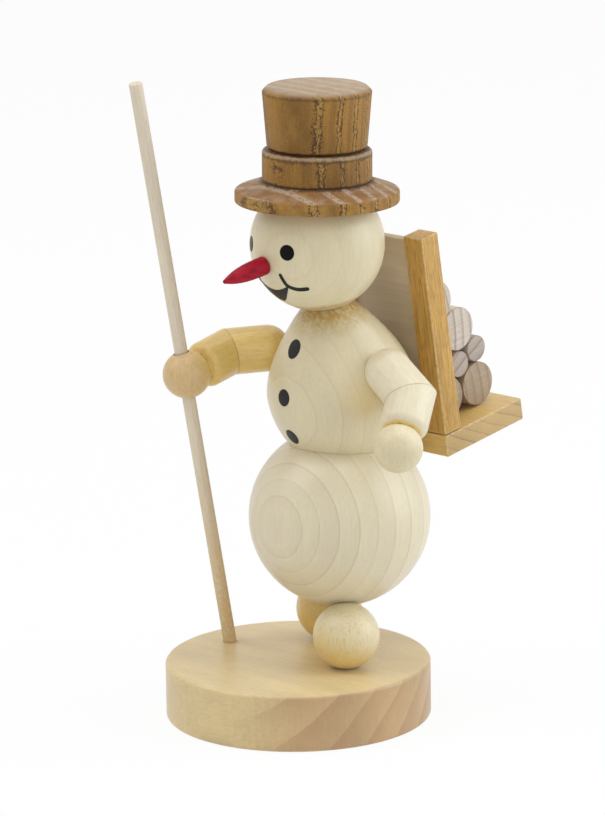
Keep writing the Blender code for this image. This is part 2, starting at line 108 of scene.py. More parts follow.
class SnowmanSizes(bpy.types.PropertyGroup):
    """Sizes that the frame's boxes don't give by themselves."""

    turning_steps: IntProperty(name="Turning Steps", description="Faces round a turned piece", default=112, min=24)
    base_edge: length("Base Edge", "Rounding of the base's two rims", 0.9)
    foot_radius: length("Foot Radius", "Radius of each foot ball", 7.5)
    foot_flat: length("Foot Flat", "Depth of the flat under each foot", 0.5)
    torso_radius: length("Torso Radius", "Radius of the pear at its widest ring", 16.75)
    torso_widest: length("Torso Widest", "Height of the widest ring above the torso's foot", 9.8)
    torso_below: length("Torso Below", "Depth of the half ellipse below the widest ring", 19.2)
    torso_taper: length("Torso Taper", "Height over which the pear would taper to a point", 25.5)
    torso_power: FloatProperty(name="Torso Power", description="Fullness of the pear's shoulder", default=1.6)
    brim_rise: length("Brim Rise", "Height of the band's foot above the brim's underside", 4.85)
    rim_height: length("Rim Height", "Height of the rim's upper corner", 2.65)
    rim_round: length("Rim Round", "Rounding of the rim's upper corner", 0.8)
    rim_edge: length("Rim Edge", "Rounding of the rim's lower corner", 0.4)
    band_radius: length("Band Radius", "Radius of the hat band", 12.2)
    band_top: length("Band Top", "Height of the band's upper edge", 11.8)
    band_bevel: length("Band Bevel", "Bevel of the band's upper edge", 0.8)
    crown_low: length("Crown Low", "Radius of the crown just above the band", 11.1)
    crown_high: length("Crown High", "Radius of the crown at its top", 12.15)
    crown_chamfer: length("Crown Chamfer", "Chamfer of the crown's top edge", 1.1)
    hat_groove: length("Hat Groove", "Depth of the groove above the band", 0.5)
    face_yaw: angle("Face Yaw", "Turn of the face towards the figure's left", -5.5)
    nose_drop: angle("Nose Drop", "Slope of the nose below level", 11)
    nose_radius: length("Nose Radius", "Radius of the nose at the head", 2.1)
    nose_length: length("Nose Length", "Length of the nose that shows", 11.6)
    nose_tip: length("Nose Tip", "Radius of the nose's blunt tip", 0.5)
    nose_edge: length("Nose Edge", "Rounding of the nose where it meets the head", 0.25)
    nose_fullness: IntProperty(name="Nose Fullness", description="Power of the nose's bulge", default=3)
    tenon_radius: length("Tenon Radius", "Radius of the nose's tenon", 1.2)
    tenon: length("Tenon", "Length of the nose's tenon", 4)
    arm_radius: length("Arm Radius", "Radius of the arm dowels", 5.3)
    shoulder_reach: length("Shoulder Reach", "Elbow to the centre of the round shoulder", 8.6)
    wrist_seat: length("Wrist Seat", "Hand's centre to the wrist's end", 4.3)
    wrist_round: length("Wrist Round", "Rounding of the wrist's end", 2.0)
    glue_bead: length("Glue Bead", "Radius of the bead of dried glue round each wrist", 0.34)
    elbow_left: place("Elbow Left", "Where the left arm's two axes cross", (28.3, 8.8, 76.6))
    elbow_right: place("Elbow Right", "Where the right arm's two axes cross", (-20.4, -0.9, 80.9))
    upper_left: FloatVectorProperty(
        name="Upper Arm Left",
        description="Direction of the left upper arm from the shoulder",
        default=(0.85, -0.04, -0.53),
        subtype="DIRECTION",
    )
    upper_right: FloatVectorProperty(
        name="Upper Arm Right",
        description="Direction of the right upper arm from the shoulder",
        default=(-0.68, -0.73, -0.08),
        subtype="DIRECTION",
    )
    hand_radius: length("Hand Radius", "Radius of each hand ball", 5.55)
    bore_clearance: length("Bore Clearance", "Room round the staff in its hand", 0.35)
    socket_clearance: length("Socket Clearance", "Room round the staff in the base", 0.1)
    staff_edge: length("Staff Edge", "Rounding of the staff's ends", 0.3)
    board_edge: length("Board Edge", "Rounding of the carrier's sawn edges", 0.22)
    log_edge: length("Log Edge", "Rounding of the logs' sawn ends", 0.16)
    button_radius: length("Button Radius", "Radius of the painted buttons", 1.85)
    eye_radius: length("Eye Radius", "Radius of the painted eyes", 1.74)
    cheek_width: length("Cheek Line Width", "Width of the painted cheek lines", 1.1)


class SnowmanColours(bpy.types.PropertyGroup):
    """Woods, stains and paints."""

    pale: colour("Pale Wood", "Waxed pale wood of the balls and the torso", (222, 209, 171))
    pale_ring: colour("Pale Ring", "Reddish growth lines in the pale wood", (188, 150, 116))
    belly: colour("Belly Wood", "Slightly pinker wood of the belly", (225, 214, 182))
    cream: colour("Cream Wood", "Whiter wood of the left arm", (234, 223, 191))
    straw: colour("Straw Wood", "Yellower wood of the left foot", (224, 209, 168))
    golden: colour("Golden Wood", "Waxed golden wood of the right arm and foot", (226, 194, 112))
    golden_ring: colour("Golden Ring", "Growth lines in the golden wood", (172, 128, 62))
    tan: colour("Tan Wood", "Pinkish wood of the right hand", (216, 184, 130))
    tan_ring: colour("Tan Ring", "Short dashes in the tan wood", (166, 124, 80))
    base: colour("Base Wood", "Waxed maple of the base", (228, 205, 150))
    base_ring: colour("Base Ring", "Growth bands in the base", (180, 140, 98))
    film: colour("Glue Film", "Clear whitish film of glue round the feet", (216, 208, 188))
    hat: colour("Hat Stain", "Golden-brown stain of the hat", (163, 119, 50))
    hat_dark: colour("Hat Dark", "Darker clouds of the stain", (108, 74, 28))
    hat_line: colour("Hat Lines", "Dark stain in the grooves and round the pores", (56, 34, 18))
    hat_red: colour("Hat Red", "Reddish brown of the brim", (136, 92, 50))
    hat_pore: colour("Hat Pores", "Pale golden filling of the pores", (188, 150, 84))
    hat_worn: colour("Hat Worn", "Pale worn wood on the brim and the top", (186, 170, 148))
    rail: colour("Rail Wood", "Beech of the carrier's rails", (210, 162, 78))
    rail_fleck: colour("Rail Flecks", "Short dark flecks in the beech", (130, 86, 30))
    # Pale edges are partly wear and partly painted highlight along the edges.
    edge: colour("Edge Wear And Highlight", "Pale edges of the base and the boards, partly wear and partly painted highlight", (228, 206, 156))
    shelf: colour("Shelf Wood", "Beech of the carrier's shelf", (223, 185, 108))
    panel: colour("Panel Wood", "Thin board behind the logs", (206, 188, 158))
    log: colour("Log Wood", "Sawn logs in the middle", (188, 175, 163))
    log_pale: colour("Pale Log", "Sawn logs on top", (216, 204, 190))
    log_brown: colour("Brown Log", "Sawn logs on the shelf", (180, 159, 134))
    bark: colour("Log Rim", "Reddish rim of the sawn logs", (150, 110, 90))
    log_ring: colour("Log Rings", "Growth bands on the logs' ends", (142, 116, 94))
    staff: colour("Staff Wood", "Raw staff", (230, 217, 194))
    staff_low: colour("Staff Foot", "Yellower foot of the staff", (214, 182, 122))
    # The wrist glue colour is lightened past the glue's own colour: painted light for the shaded gap at the wrists.
    glue_with_painted_light: colour("Bright Glue", "Golden glue at the wrists, lightened as painted light for their shaded gap", (230, 196, 96))
    glue: colour("Dried Glue", "Golden stain of dried glue and wax", (178, 138, 30))
    nose: colour("Nose Paint", "Crimson nose", (170, 16, 44))
    nose_deep: colour("Nose Shade", "Darker crimson in the brush marks", (126, 10, 32))
    paint: colour("Black Paint", "Eyes, mouth and buttons", (10, 11, 11))
    paint_worn: colour("Worn Paint", "Thin places in the black paint", (26, 26, 25))


class SnowmanStage(bpy.types.PropertyGroup):
    """Camera, floor and light."""

    azimuth: angle("Azimuth", "Camera's turn towards the figure's left", 47)
    elevation: angle("Elevation", "Camera's height above level", 13.806)
    roll: angle("Roll", "Camera's turn about its own line of sight", -0.85)
    distance: length("Distance", "Camera to its aim point", 1050.6)
    aim_height: length("Aim Height", "Height that the camera looks at", 71.04)
    aim_right: length("Aim Right", "Shift of the aim point to the camera's right", 1.849)
    lens: FloatProperty(name="Lens", description="Focal length on a 36 mm sensor", default=207.5, subtype="NONE")
    floor_size: length("Floor Size", "Side of the square floor", 6000)
    floor_glow: FloatProperty(name="Floor Glow", description="Share of plain white in the seen floor", default=0.93)
    sky: FloatProperty(name="Sky", description="Strength of the even light", default=0.42)
    key: FloatProperty(name="Key", description="Power of the soft light on the left in watts", default=4.7)
    fill: FloatProperty(name="Fill", description="Power of the soft light on the right in watts", default=5.8)
    front: FloatProperty(name="Front", description="Power of the soft light by the camera in watts", default=1.7)
    top: FloatProperty(name="Top", description="Power of the soft light above in watts", default=4.2)


# Reading the frame


def ball_of(node, radius=None):
    """Centre and radius of a ball from its node's box, by its sides and its underside."""
    low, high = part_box(node)
    if radius is None:
        radius = (high.x - low.x) / 2
    return Vector(((low.x + high.x) / 2, (low.y + high.y) / 2, low.z + radius)), radius


def rod_of(node):
    """Lower end, upper end and radius of a rod, along the longest direction of its node's points."""
    points = np.unique(np.round([vertex.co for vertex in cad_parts[node].data.vertices], 7), axis=0)
    middle = (points.min(0) + points.max(0)) / 2
    spread = points - points.mean(0)
    axis = Vector(np.linalg.svd(spread, full_matrices=False)[2][0])
    if axis.z < -0.2 or (abs(axis.z) <= 0.2 and axis.x < 0):
        axis.negate()
    along_axis = [(Vector(point) - Vector(middle)).dot(axis) for point in points]
    centre = Vector(middle) + axis * (max(along_axis) + min(along_axis)) / 2
    half = (max(along_axis) - min(along_axis)) / 2
    radius = max(((Vector(point) - centre) - axis * (Vector(point) - centre).dot(axis)).length for point in points)
    return centre - axis * half, centre + axis * half, radius


def box_in(node, turn):
    """Lowest and highest corner of a node in the directions of a turned frame."""
    local = [turn.transposed() @ vertex.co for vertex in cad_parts[node].data.vertices]
    low = Vector([min(point[side] for point in local) for side in range(3)])
    high = Vector([max(point[side] for point in local) for side in range(3)])
    return low, high


def along(start, direction):
    """A frame at a point with its Z axis along a direction."""
    return Matrix.Translation(start) @ direction.to_track_quat("Z", "Y").to_matrix().to_4x4()


def torso_frame():
    """The torso's foot and axis, from the dowel that pins it to the belly."""
    low, high, _ = rod_of("waist_dowel")
    axis = (high - low).normalized()
    across = Vector((1, 0, 0))
    back = axis.cross(across).normalized()
    turn = Matrix((across, back, axis)).transposed().to_4x4()
    return Matrix.Translation((low + high) / 2) @ turn


def carrier_turn():
    """The carrier's directions, from the two logs that lie on its shelf: across, back and up."""
    left, right, _ = rod_of("log_lower_front")
    rear_left, rear_right, _ = rod_of("log_lower_rear")
    across = (right - left).normalized()
    back = ((rear_left + rear_right) - (left + right)).normalized()
    return Matrix((across, back, across.cross(back))).transposed()


def head_ball():
    low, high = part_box("head_ball")
    radius = (high.x - low.x) / 2
    return Vector(((low.x + high.x) / 2, high.y - radius, low.z + radius)), radius


def torso_radius(sizes, height):
    rise = height - sizes.torso_widest
    if rise < 0:
        return sizes.torso_radius * math.sqrt(max(0.0, 1 - (rise / sizes.torso_below) ** 2))
    return sizes.torso_radius * (1 - (rise / sizes.torso_taper) ** sizes.torso_power)


# Modelling


def deselect():
    if bpy.context.mode != "OBJECT":
        bpy.ops.object.mode_set(mode="OBJECT")
    bpy.ops.object.select_all(action="DESELECT")


def choose(obj):
    deselect()
    obj.select_set(True)
    bpy.context.view_layer.objects.active = obj


def edit(obj):
    choose(obj)
    bpy.ops.object.mode_set(mode="EDIT")
    bpy.ops.mesh.select_all(action="SELECT")


def leave_edit():
    bpy.ops.object.mode_set(mode="OBJECT")


def settle(obj, name, where=None):
    """Put a finished mesh where it belongs, with its place in the mesh, and name it."""
    choose(obj)
    if where is not None:
        obj.matrix_world = where
    bpy.ops.object.transform_apply(location=True, rotation=True, scale=True)
    obj.name = name
    obj.data.name = name
    return obj


def close_up(obj):
    """Merge doubles and turn all faces outwards."""
    edit(obj)
    bpy.ops.mesh.remove_doubles(threshold=0.002 * MM)
    bpy.ops.mesh.normals_make_consistent(inside=False)
    leave_edit()
    return obj


def smooth(obj):
    choose(obj)
    bpy.ops.object.shade_smooth_by_angle(angle=SMOOTH_BELOW)
    return obj


def apply_modifier(obj, kind, **settings):
    choose(obj)
    modifier = obj.modifiers.new(kind.lower(), kind)
    for key, value in settings.items():
        setattr(modifier, key, value)
    bpy.ops.object.modifier_apply(modifier=modifier.name)


def cut(obj, cutter):
    """Take a cutting body away from a piece and remove the cutter."""
    apply_modifier(obj, "BOOLEAN", operation="DIFFERENCE", solver="EXACT", object=cutter)
    bpy.data.objects.remove(cutter, do_unlink=True)
    return obj


def turned(name, profile, where, steps):
    """Draw a profile vertex by vertex, spin it about Z and put it in its place."""
    deselect()
    bpy.ops.mesh.primitive_plane_add(size=MM)
    obj = bpy.context.object
    edit(obj)
    bpy.ops.mesh.merge(type="CENTER")
    first = profile[0]
    bpy.ops.transform.translate(value=(first[0], 0, first[1]))
    for start, end in zip(profile, profile[1:]):
        move = (end[0] - start[0], 0, end[1] - start[1])
        bpy.ops.mesh.extrude_vertices_move(TRANSFORM_OT_translate={"value": move})
    bpy.ops.mesh.select_all(action="SELECT")
    bpy.ops.mesh.spin(steps=steps, angle=math.tau, center=(0, 0, 0), axis=(0, 0, 1))
    leave_edit()
    return settle(close_up(obj), name, where)


def arc(centre, radius, start, end, steps):
    """Points of a circular arc in a profile, angles in degrees from +X."""
    points = []
    for step in range(steps + 1):
        turn = math.radians(start + (end - start) * step / steps)
        points.append((centre[0] + radius * math.cos(turn), centre[1] + radius * math.sin(turn)))
    return points


def rod(name, radius, start, end, steps, edge=0.0):
    """A turned rod between two points, with rounded ends where an edge is given."""
    span = (end - start).length
    profile = [(0, 0)]
    if edge:
        profile += arc((radius - edge, edge), edge, -90, 0, 4)
        profile += arc((radius - edge, span - edge), edge, 0, 90, 4)
    else:
        profile += [(radius, 0), (radius, span)]
    profile += [(0, span)]
    return turned(name, profile, along(start, (end - start).normalized()), steps)


def room(centre, radius):
    """A ball that hollows a piece out for a neighbour, with a fine gap round it."""
    profile = arc((0, 0), radius + FIT, 90, -90, ROOM_STEPS // 2)
    return turned("room", profile, Matrix.Translation(centre), ROOM_STEPS)


def trim(obj, point, normal):
    """Saw a piece off square or at a mitre, dropping what lies beyond the plane."""
    edit(obj)
    bpy.ops.mesh.bisect(plane_co=point, plane_no=normal, use_fill=True, clear_outer=True)
    leave_edit()
    return obj


def board(name, low, high, turn, edge):
    """A sawn board between two corners of a turned frame, its edges rounded over."""
    deselect()
    bpy.ops.mesh.primitive_cube_add(size=1)
    obj = bpy.context.object
    edit(obj)
    bpy.ops.transform.resize(value=high - low)
    bpy.ops.transform.translate(value=(low + high) / 2)
    bpy.ops.mesh.select_all(action="SELECT")
    bpy.ops.mesh.bevel(offset=edge, segments=3, affect="EDGES")
    leave_edit()
    return settle(obj, name, turn.to_4x4())


def patch(name, across, up, spot):
    """A thin coat of paint: a grid from -1 to 1 both ways, laid on a surface by a rule and given its depth."""
    deselect()
    bpy.ops.mesh.primitive_grid_add(x_subdivisions=across, y_subdivisions=up, size=2)
    obj = bpy.context.object
    for vertex in obj.data.vertices:
        vertex.co = spot(vertex.co.x, vertex.co.y)
    close_up(obj)
    apply_modifier(obj, "SOLIDIFY", thickness=PAINT_DEPTH, offset=0.0)
    return smooth(settle(close_up(obj), name))


def round_patch(name, spot, grid=20):
    """A round coat of paint: the square grid is first drawn in to a disc."""

    def disc(x, y):
        return spot(x * math.sqrt(1 - y * y / 2), y * math.sqrt(1 - x * x / 2))

    return patch(name, grid, grid, disc)


def finish_piece(obj, material, body="figure", node=None):
    """Give a piece its material and tie it to its body, and to the node that it stands for."""
    smooth(obj)
    obj.data.materials.clear()
    obj.data.materials.append(material)
    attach(obj, body)
    if node:
        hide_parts(node)
    return obj


# Materials


def put(tree, kind, inputs=None, **settings):
    """Add a node, set its settings, and link or set its inputs by name or number."""
    made = tree.nodes.new(kind)
    for key, value in settings.items():
        setattr(made, key, value)
    for key, value in (inputs or {}).items():
        if isinstance(value, bpy.types.NodeSocket):
            tree.links.new(value, made.inputs[key])
        else:
            made.inputs[key].default_value = value
    return made


def calc(tree, operation, *values):
    return put(tree, "ShaderNodeMath", dict(enumerate(values)), operation=operation).outputs[0]


def remap(tree, value, low, high, to_low=0.0, to_high=1.0, kind="SMOOTHSTEP"):
    inputs = {"Value": value, "From Min": low, "From Max": high, "To Min": to_low, "To Max": to_high}
    return put(tree, "ShaderNodeMapRange", inputs, interpolation_type=kind).outputs["Result"]


def mix(tree, share, first, second, kind="MIX"):
    inputs = {0: share, 6: first, 7: second}
    return put(tree, "ShaderNodeMix", inputs, data_type="RGBA", blend_type=kind).outputs[2]


def scaled(tree, vector, factor):
    return put(tree, "ShaderNodeVectorMath", {0: vector, 1: factor}, operation="MULTIPLY").outputs[0]


def noise(tree, vector, scale, detail=2.0, roughness=0.5):
    inputs = {"Vector": vector, "Scale": scale, "Detail": detail, "Roughness": roughness}
    return put(tree, "ShaderNodeTexNoise", inputs).outputs[0]


def new_group(name, inputs, outputs):
    """A node group with named sockets. Returns the tree, its inputs and a node that takes its outputs."""
    tree = bpy.data.node_groups.new(name, "ShaderNodeTree")
    kinds = {"vector": "NodeSocketVector", "value": "NodeSocketFloat"}
    for label, kind in inputs.items():
        tree.interface.new_socket(name=label, in_out="INPUT", socket_type=kinds[kind])
    for label in outputs:
        tree.interface.new_socket(name=label, in_out="OUTPUT", socket_type="NodeSocketFloat")
    return tree, put(tree, "NodeGroupInput").outputs, put(tree, "NodeGroupOutput").inputs


def growth_rings():
    """Growth lines round a pith along Z, in millimetres, each darkening slowly and ending sharply.

    Skin is the radius that they are counted from, and a spread below 1 crowds them towards it.
    """
    tree, given, result = new_group(
        "growth_rings",
        {"Vector": "vector", "Skin": "value", "Spacing": "value", "Spread": "value", "Wobble": "value",
         "Uneven": "value", "Line": "value"},
        ("Late Wood", "Ring Tone"),
    )
    flat = scaled(tree, given["Vector"], (1, 1, 0))
    reach = put(tree, "ShaderNodeVectorMath", {0: flat}, operation="LENGTH").outputs["Value"]
    drift = noise(tree, scaled(tree, given["Vector"], (1, 1, 0.45)), 0.07, 2.0)
    drift = calc(tree, "MULTIPLY", calc(tree, "SUBTRACT", drift, 0.5), given["Wobble"])
    depth = calc(tree, "ABSOLUTE", calc(tree, "SUBTRACT", calc(tree, "ADD", reach, drift), given["Skin"]))
    turns = calc(tree, "POWER", calc(tree, "DIVIDE", depth, given["Spacing"]), given["Spread"])
    uneven = noise(tree, put(tree, "ShaderNodeCombineXYZ", {"X": turns}).outputs[0], 0.6, 1.0)
    turns = calc(tree, "MULTIPLY_ADD", calc(tree, "SUBTRACT", uneven, 0.5), given["Uneven"], turns)
    phase = calc(tree, "FRACT", turns)
    start = calc(tree, "SUBTRACT", 1.0, given["Line"])
    rise = remap(tree, phase, start, 0.97)
    fall = remap(tree, phase, 0.97, 1.0, 1.0, 0.0)
    tone = put(tree, "ShaderNodeTexWhiteNoise", {"W": calc(tree, "FLOOR", turns)}, noise_dimensions="1D").outputs[0]
    strength = remap(tree, tone, 0.0, 1.0, 0.45, 1.0, "LINEAR")
    tree.links.new(calc(tree, "MULTIPLY", calc(tree, "MULTIPLY", rise, fall), strength), result["Late Wood"])
    tree.links.new(calc(tree, "MULTIPLY", phase, strength), result["Ring Tone"])
    return tree


def wood_fibres():
    """Fine grain along Z, in millimetres: fibres, slow clouds of tone, and short flecks."""
    tree, given, result = new_group(
        "wood_fibres",
        {"Vector": "vector", "Fineness": "value", "Fleck Share": "value"},
        ("Fibre", "Cloud", "Fleck"),
    )
    drawn = scaled(tree, given["Vector"], (1, 1, 0.045))
    tree.links.new(noise(tree, drawn, given["Fineness"], 4.0, 0.6), result["Fibre"])
    tree.links.new(noise(tree, scaled(tree, given["Vector"], (1, 1, 0.35)), 0.11, 3.0), result["Cloud"])
    dashes = noise(tree, scaled(tree, given["Vector"], (1, 1, 0.16)), 2.6, 1.0)
    edge = calc(tree, "ADD", given["Fleck Share"], 0.05)
    tree.links.new(remap(tree, dashes, given["Fleck Share"], edge), result["Fleck"])
    return tree


def glue_stain():
    """A ragged round stain about a centre, in millimetres, fading out towards its radius."""
    tree, given, result = new_group(
        "glue_stain",
        {"Vector": "vector", "Centre": "vector", "Inner": "value", "Outer": "value", "Ragged": "value"},
        ("Stain",),
    )
    away = put(tree, "ShaderNodeVectorMath", {0: given["Vector"], 1: given["Centre"]}, operation="DISTANCE")
    ragged = calc(tree, "SUBTRACT", noise(tree, given["Vector"], 0.34, 4.0, 0.6), 0.5)
    reach = calc(tree, "MULTIPLY_ADD", ragged, given["Ragged"], away.outputs["Value"])
    patches = remap(tree, noise(tree, given["Vector"], 1.2, 3.0), 0.3, 0.6, 0.35, 1.0)
    mask = remap(tree, reach, given["Inner"], given["Outer"], 1.0, 0.0)
    tree.links.new(calc(tree, "MULTIPLY", mask, patches), result["Stain"])
    return tree


def edge_bands():
    """A ragged band along the edges of a box about its own middle, in millimetres, from its half sizes: pale wear with
    painted highlight on the base and the boards, a reddish rim on the logs.
    """
    tree, given, result = new_group(
        "edge_bands",
        {"Vector": "vector", "Half": "vector", "Width": "value"},
        ("Edge Band",),
    )
    inside = put(tree, "ShaderNodeVectorMath", {0: given["Vector"]}, operation="ABSOLUTE").outputs[0]
    away = put(tree, "ShaderNodeVectorMath", {0: given["Half"], 1: inside}, operation="SUBTRACT").outputs[0]
    x, y, z = put(tree, "ShaderNodeSeparateXYZ", {0: away}).outputs
    most = calc(tree, "MAXIMUM", calc(tree, "MAXIMUM", x, y), z)
    nearest = calc(tree, "SUBTRACT", calc(tree, "ADD", calc(tree, "ADD", x, y), z), most)
    ragged = calc(tree, "SUBTRACT", noise(tree, given["Vector"], 0.8, 4.0, 0.6), 0.5)
    reach = calc(tree, "MULTIPLY_ADD", ragged, calc(tree, "MULTIPLY", given["Width"], 2.2), nearest)
    full = calc(tree, "MULTIPLY", given["Width"], 0.3)
    tree.links.new(remap(tree, reach, full, given["Width"], 1.0, 0.0), result["Edge Band"])
    return tree


def group(tree, name, inputs):
    made = put(tree, "ShaderNodeGroup", node_tree=bpy.data.node_groups[name])
    for key, value in inputs.items():
        if isinstance(value, bpy.types.NodeSocket):
            tree.links.new(value, made.inputs[key])
        else:
            made.inputs[key].default_value = value
    return made.outputs


def new_material(name):
    material = bpy.data.materials.new(name)
    material.use_nodes = True
    tree = material.node_tree
    return material, tree, tree.nodes["Principled BSDF"]


def rgba(shade):
    return (*shade, 1.0)


def millimetre_grain(tree, pith, turn):
    """Object coordinates in millimetres about a pith point, with the grain turned along Z."""
    spot = put(tree, "ShaderNodeTexCoord").outputs["Object"]
    inputs = {"Vector": spot, "Location": pith, "Rotation": turn, "Scale": (MM, MM, MM)}
    return spot, put(tree, "ShaderNodeMapping", inputs, vector_type="TEXTURE").outputs[0]


def timber(
    name, shade, ring_shade, pith, turn=(0, 0, 0), skin=0.0, spacing=3.3, spread=1.0, wobble=1.2, uneven=0.8,
    line=0.14, ring=0.4, tone=0.06, long_grain=1.0, end_dark=0.0, fibre=0.06, fineness=2.4, cloud=0.06,
    fleck_shade=None, fleck=0.0, fleck_share=0.62, saw=0.0, edges=(), stains=(), seams=(), rough=(0.42, 0.55),
    bump=0.06, lacquer=0.35,
):
    """Solid wood: growth rings, fibres, clouds and flecks cut through by the surface, with wear, painted edge highlight
    and glue, some of it lightened as painted light, on top.
    """
    material, tree, shader = new_material(name)
    spot, grain = millimetre_grain(tree, pith, turn)
    inputs = {"Vector": grain, "Skin": skin, "Spacing": spacing, "Spread": spread, "Wobble": wobble,
              "Uneven": uneven, "Line": line}
    rings = group(tree, "growth_rings", inputs)
    fibres = group(tree, "wood_fibres", {"Vector": grain, "Fineness": fineness, "Fleck Share": fleck_share})
    tone_share = calc(tree, "MULTIPLY", rings["Ring Tone"], tone)
    ring_share = calc(tree, "MULTIPLY", rings["Late Wood"], ring)
    if long_grain < 1:
        cut_across = end_grain(tree, turn, long_grain)
        tone_share = calc(tree, "MULTIPLY", calc(tree, "ADD", tone_share, end_dark), cut_across)
        ring_share = calc(tree, "MULTIPLY", ring_share, cut_across)
    look = mix(tree, tone_share, rgba(shade), rgba(ring_shade))
    look = mix(tree, ring_share, look, rgba(ring_shade))
    dark = calc(tree, "MULTIPLY", shading(tree, fibres["Fibre"], fibre), shading(tree, fibres["Cloud"], cloud))
    if saw:
        marks = noise(tree, scaled(tree, grain, (1, 0.05, 0)), 3.2, 2.0)
        dark = calc(tree, "MULTIPLY", dark, shading(tree, marks, saw))
    look = darkened(tree, look, dark)
    if fleck_shade is not None:
        look = mix(tree, calc(tree, "MULTIPLY", fibres["Fleck"], fleck), look, rgba(fleck_shade))
    in_mm = scaled(tree, spot, (1 / MM, 1 / MM, 1 / MM))
    # Pale or reddish bands along the edges; the pale ones are partly wear and partly painted highlight.
    for middle, lie, half, width, weight, edge_shade in edges:
        _, local = millimetre_grain(tree, middle, lie)
        if half.y == ROUND:
            local = round_space(tree, local)
        mask = group(tree, "edge_bands", {"Vector": local, "Half": half, "Width": width})["Edge Band"]
        look = mix(tree, calc(tree, "MULTIPLY", mask, weight), look, rgba(edge_shade))
    for centre, inner, outer, ragged, weight, stain_shade in stains:
        inputs = {"Vector": in_mm, "Centre": centre / MM, "Inner": inner, "Outer": outer, "Ragged": ragged}
        mask = group(tree, "glue_stain", inputs)["Stain"]
        look = mix(tree, calc(tree, "MULTIPLY", mask, weight), look, rgba(stain_shade))
    for point, normal, width, weight, seam_shade in seams:
        away = put(tree, "ShaderNodeVectorMath", {0: in_mm, 1: Vector(point) / MM}, operation="SUBTRACT").outputs[0]
        across = put(tree, "ShaderNodeVectorMath", {0: away, 1: normal}, operation="DOT_PRODUCT").outputs["Value"]
        mask = remap(tree, calc(tree, "ABSOLUTE", across), width * 0.3, width, weight, 0.0)
        look = mix(tree, mask, look, rgba(seam_shade))
    tree.links.new(look, shader.inputs["Base Color"])
    tree.links.new(remap(tree, fibres["Fibre"], 0.25, 0.75, rough[1], rough[0], "LINEAR"), shader.inputs["Roughness"])
    height = calc(tree, "MULTIPLY_ADD", rings["Late Wood"], -0.4, fibres["Fibre"])
    inputs = {"Height": height, "Strength": bump, "Distance": 0.1 * MM}
    tree.links.new(put(tree, "ShaderNodeBump", inputs).outputs[0], shader.inputs["Normal"])
    shader.inputs["Coat Weight"].default_value = lacquer
    shader.inputs["Coat Roughness"].default_value = 0.3
    shader.inputs["Sheen Weight"].default_value = lacquer * 0.25
    shader.inputs["Sheen Roughness"].default_value = 0.35
    return material


def round_space(tree, local):
    """Distance from the Z axis and height along it, for wear round the rims of a turned piece."""
    reach = put(tree, "ShaderNodeVectorMath", {0: scaled(tree, local, (1, 1, 0))}, operation="LENGTH").outputs["Value"]
    level = put(tree, "ShaderNodeSeparateXYZ", {0: local}).outputs["Z"]
    return put(tree, "ShaderNodeCombineXYZ", {0: reach, 2: level}).outputs[0]


def end_grain(tree, turn, least):
    """1 where the fibres are cut across, falling to a least share on faces that lie along them.

    The rings run slightly off the axis, so that they fade sooner towards the far end.
    """
    fibre = Euler(turn).to_matrix() @ Vector((0, 0, 1))
    facing = put(tree, "ShaderNodeTexCoord").outputs["Normal"]
    across = put(tree, "ShaderNodeVectorMath", {0: facing, 1: fibre}, operation="DOT_PRODUCT").outputs["Value"]
    near_end = remap(tree, across, 0.15, 0.8, least, 1.0)
    return calc(tree, "MAXIMUM", near_end, remap(tree, across, -0.75, -1.0, least, 1.0))


def darkened(tree, look, share):
    return mix(tree, 1.0, look, put(tree, "ShaderNodeCombineXYZ", {0: share, 1: share, 2: share}).outputs[0], "MULTIPLY")


def shading(tree, pattern, depth):
    """A factor about 1 that a pattern darkens by up to a depth."""
    return remap(tree, pattern, 0.3, 0.7, 1.0 - depth, 1.0 + depth * 0.35, "LINEAR")


def pith_behind(centre, azimuth, distance, pitch=0.0):
    """A pith point behind a piece, so that its rings show as rounds towards an azimuth from the front."""
    turn = math.radians(azimuth)
    ahead = Euler((pitch, 0, 0)).to_matrix() @ Vector((math.sin(turn), -math.cos(turn), 0))
    return Vector(centre) - ahead * distance


def brushed_paint(name, shade, worn, roughness, scale, gloss):
    """Hand-laid paint with soft brush marks and thin places."""
    material, tree, shader = new_material(name)
    shader.inputs["Specular IOR Level"].default_value = gloss
    spot = put(tree, "ShaderNodeTexCoord").outputs["Object"]
    in_mm = scaled(tree, spot, (1 / MM, 1 / MM, 1 / MM))
    marks = noise(tree, scaled(tree, in_mm, (1, 0.3, 1)), scale, 4.0, 0.6)
    share = remap(tree, marks, 0.42, 0.72)
    tree.links.new(mix(tree, share, rgba(shade), rgba(worn)), shader.inputs["Base Color"])
    tree.links.new(remap(tree, marks, 0.3, 0.7, roughness, roughness + 0.15), shader.inputs["Roughness"])
    inputs = {"Height": marks, "Strength": 0.25, "Distance": 0.06 * MM}
    tree.links.new(put(tree, "ShaderNodeBump", inputs).outputs[0], shader.inputs["Normal"])
    return material


# Operators


class SnowmanOperator:
    """What the operators share."""

    bl_options = {"REGISTER", "UNDO"}

    def execute(self, context):
        scene = context.scene
        self.sizes = scene.snowman_sizes
        self.colours = scene.snowman_colours
        self.stage = scene.snowman_stage
        self.steps = self.sizes.turning_steps
        self.build()
        return {"FINISHED"}


class SNOWMAN_OT_grain(SnowmanOperator, bpy.types.Operator):
    """Build the node groups that all woods share"""

    bl_idname = "snowman.grain"
    bl_label = "Grain"

    def build(self):
        growth_rings()
        wood_fibres()
        glue_stain()
        edge_bands()


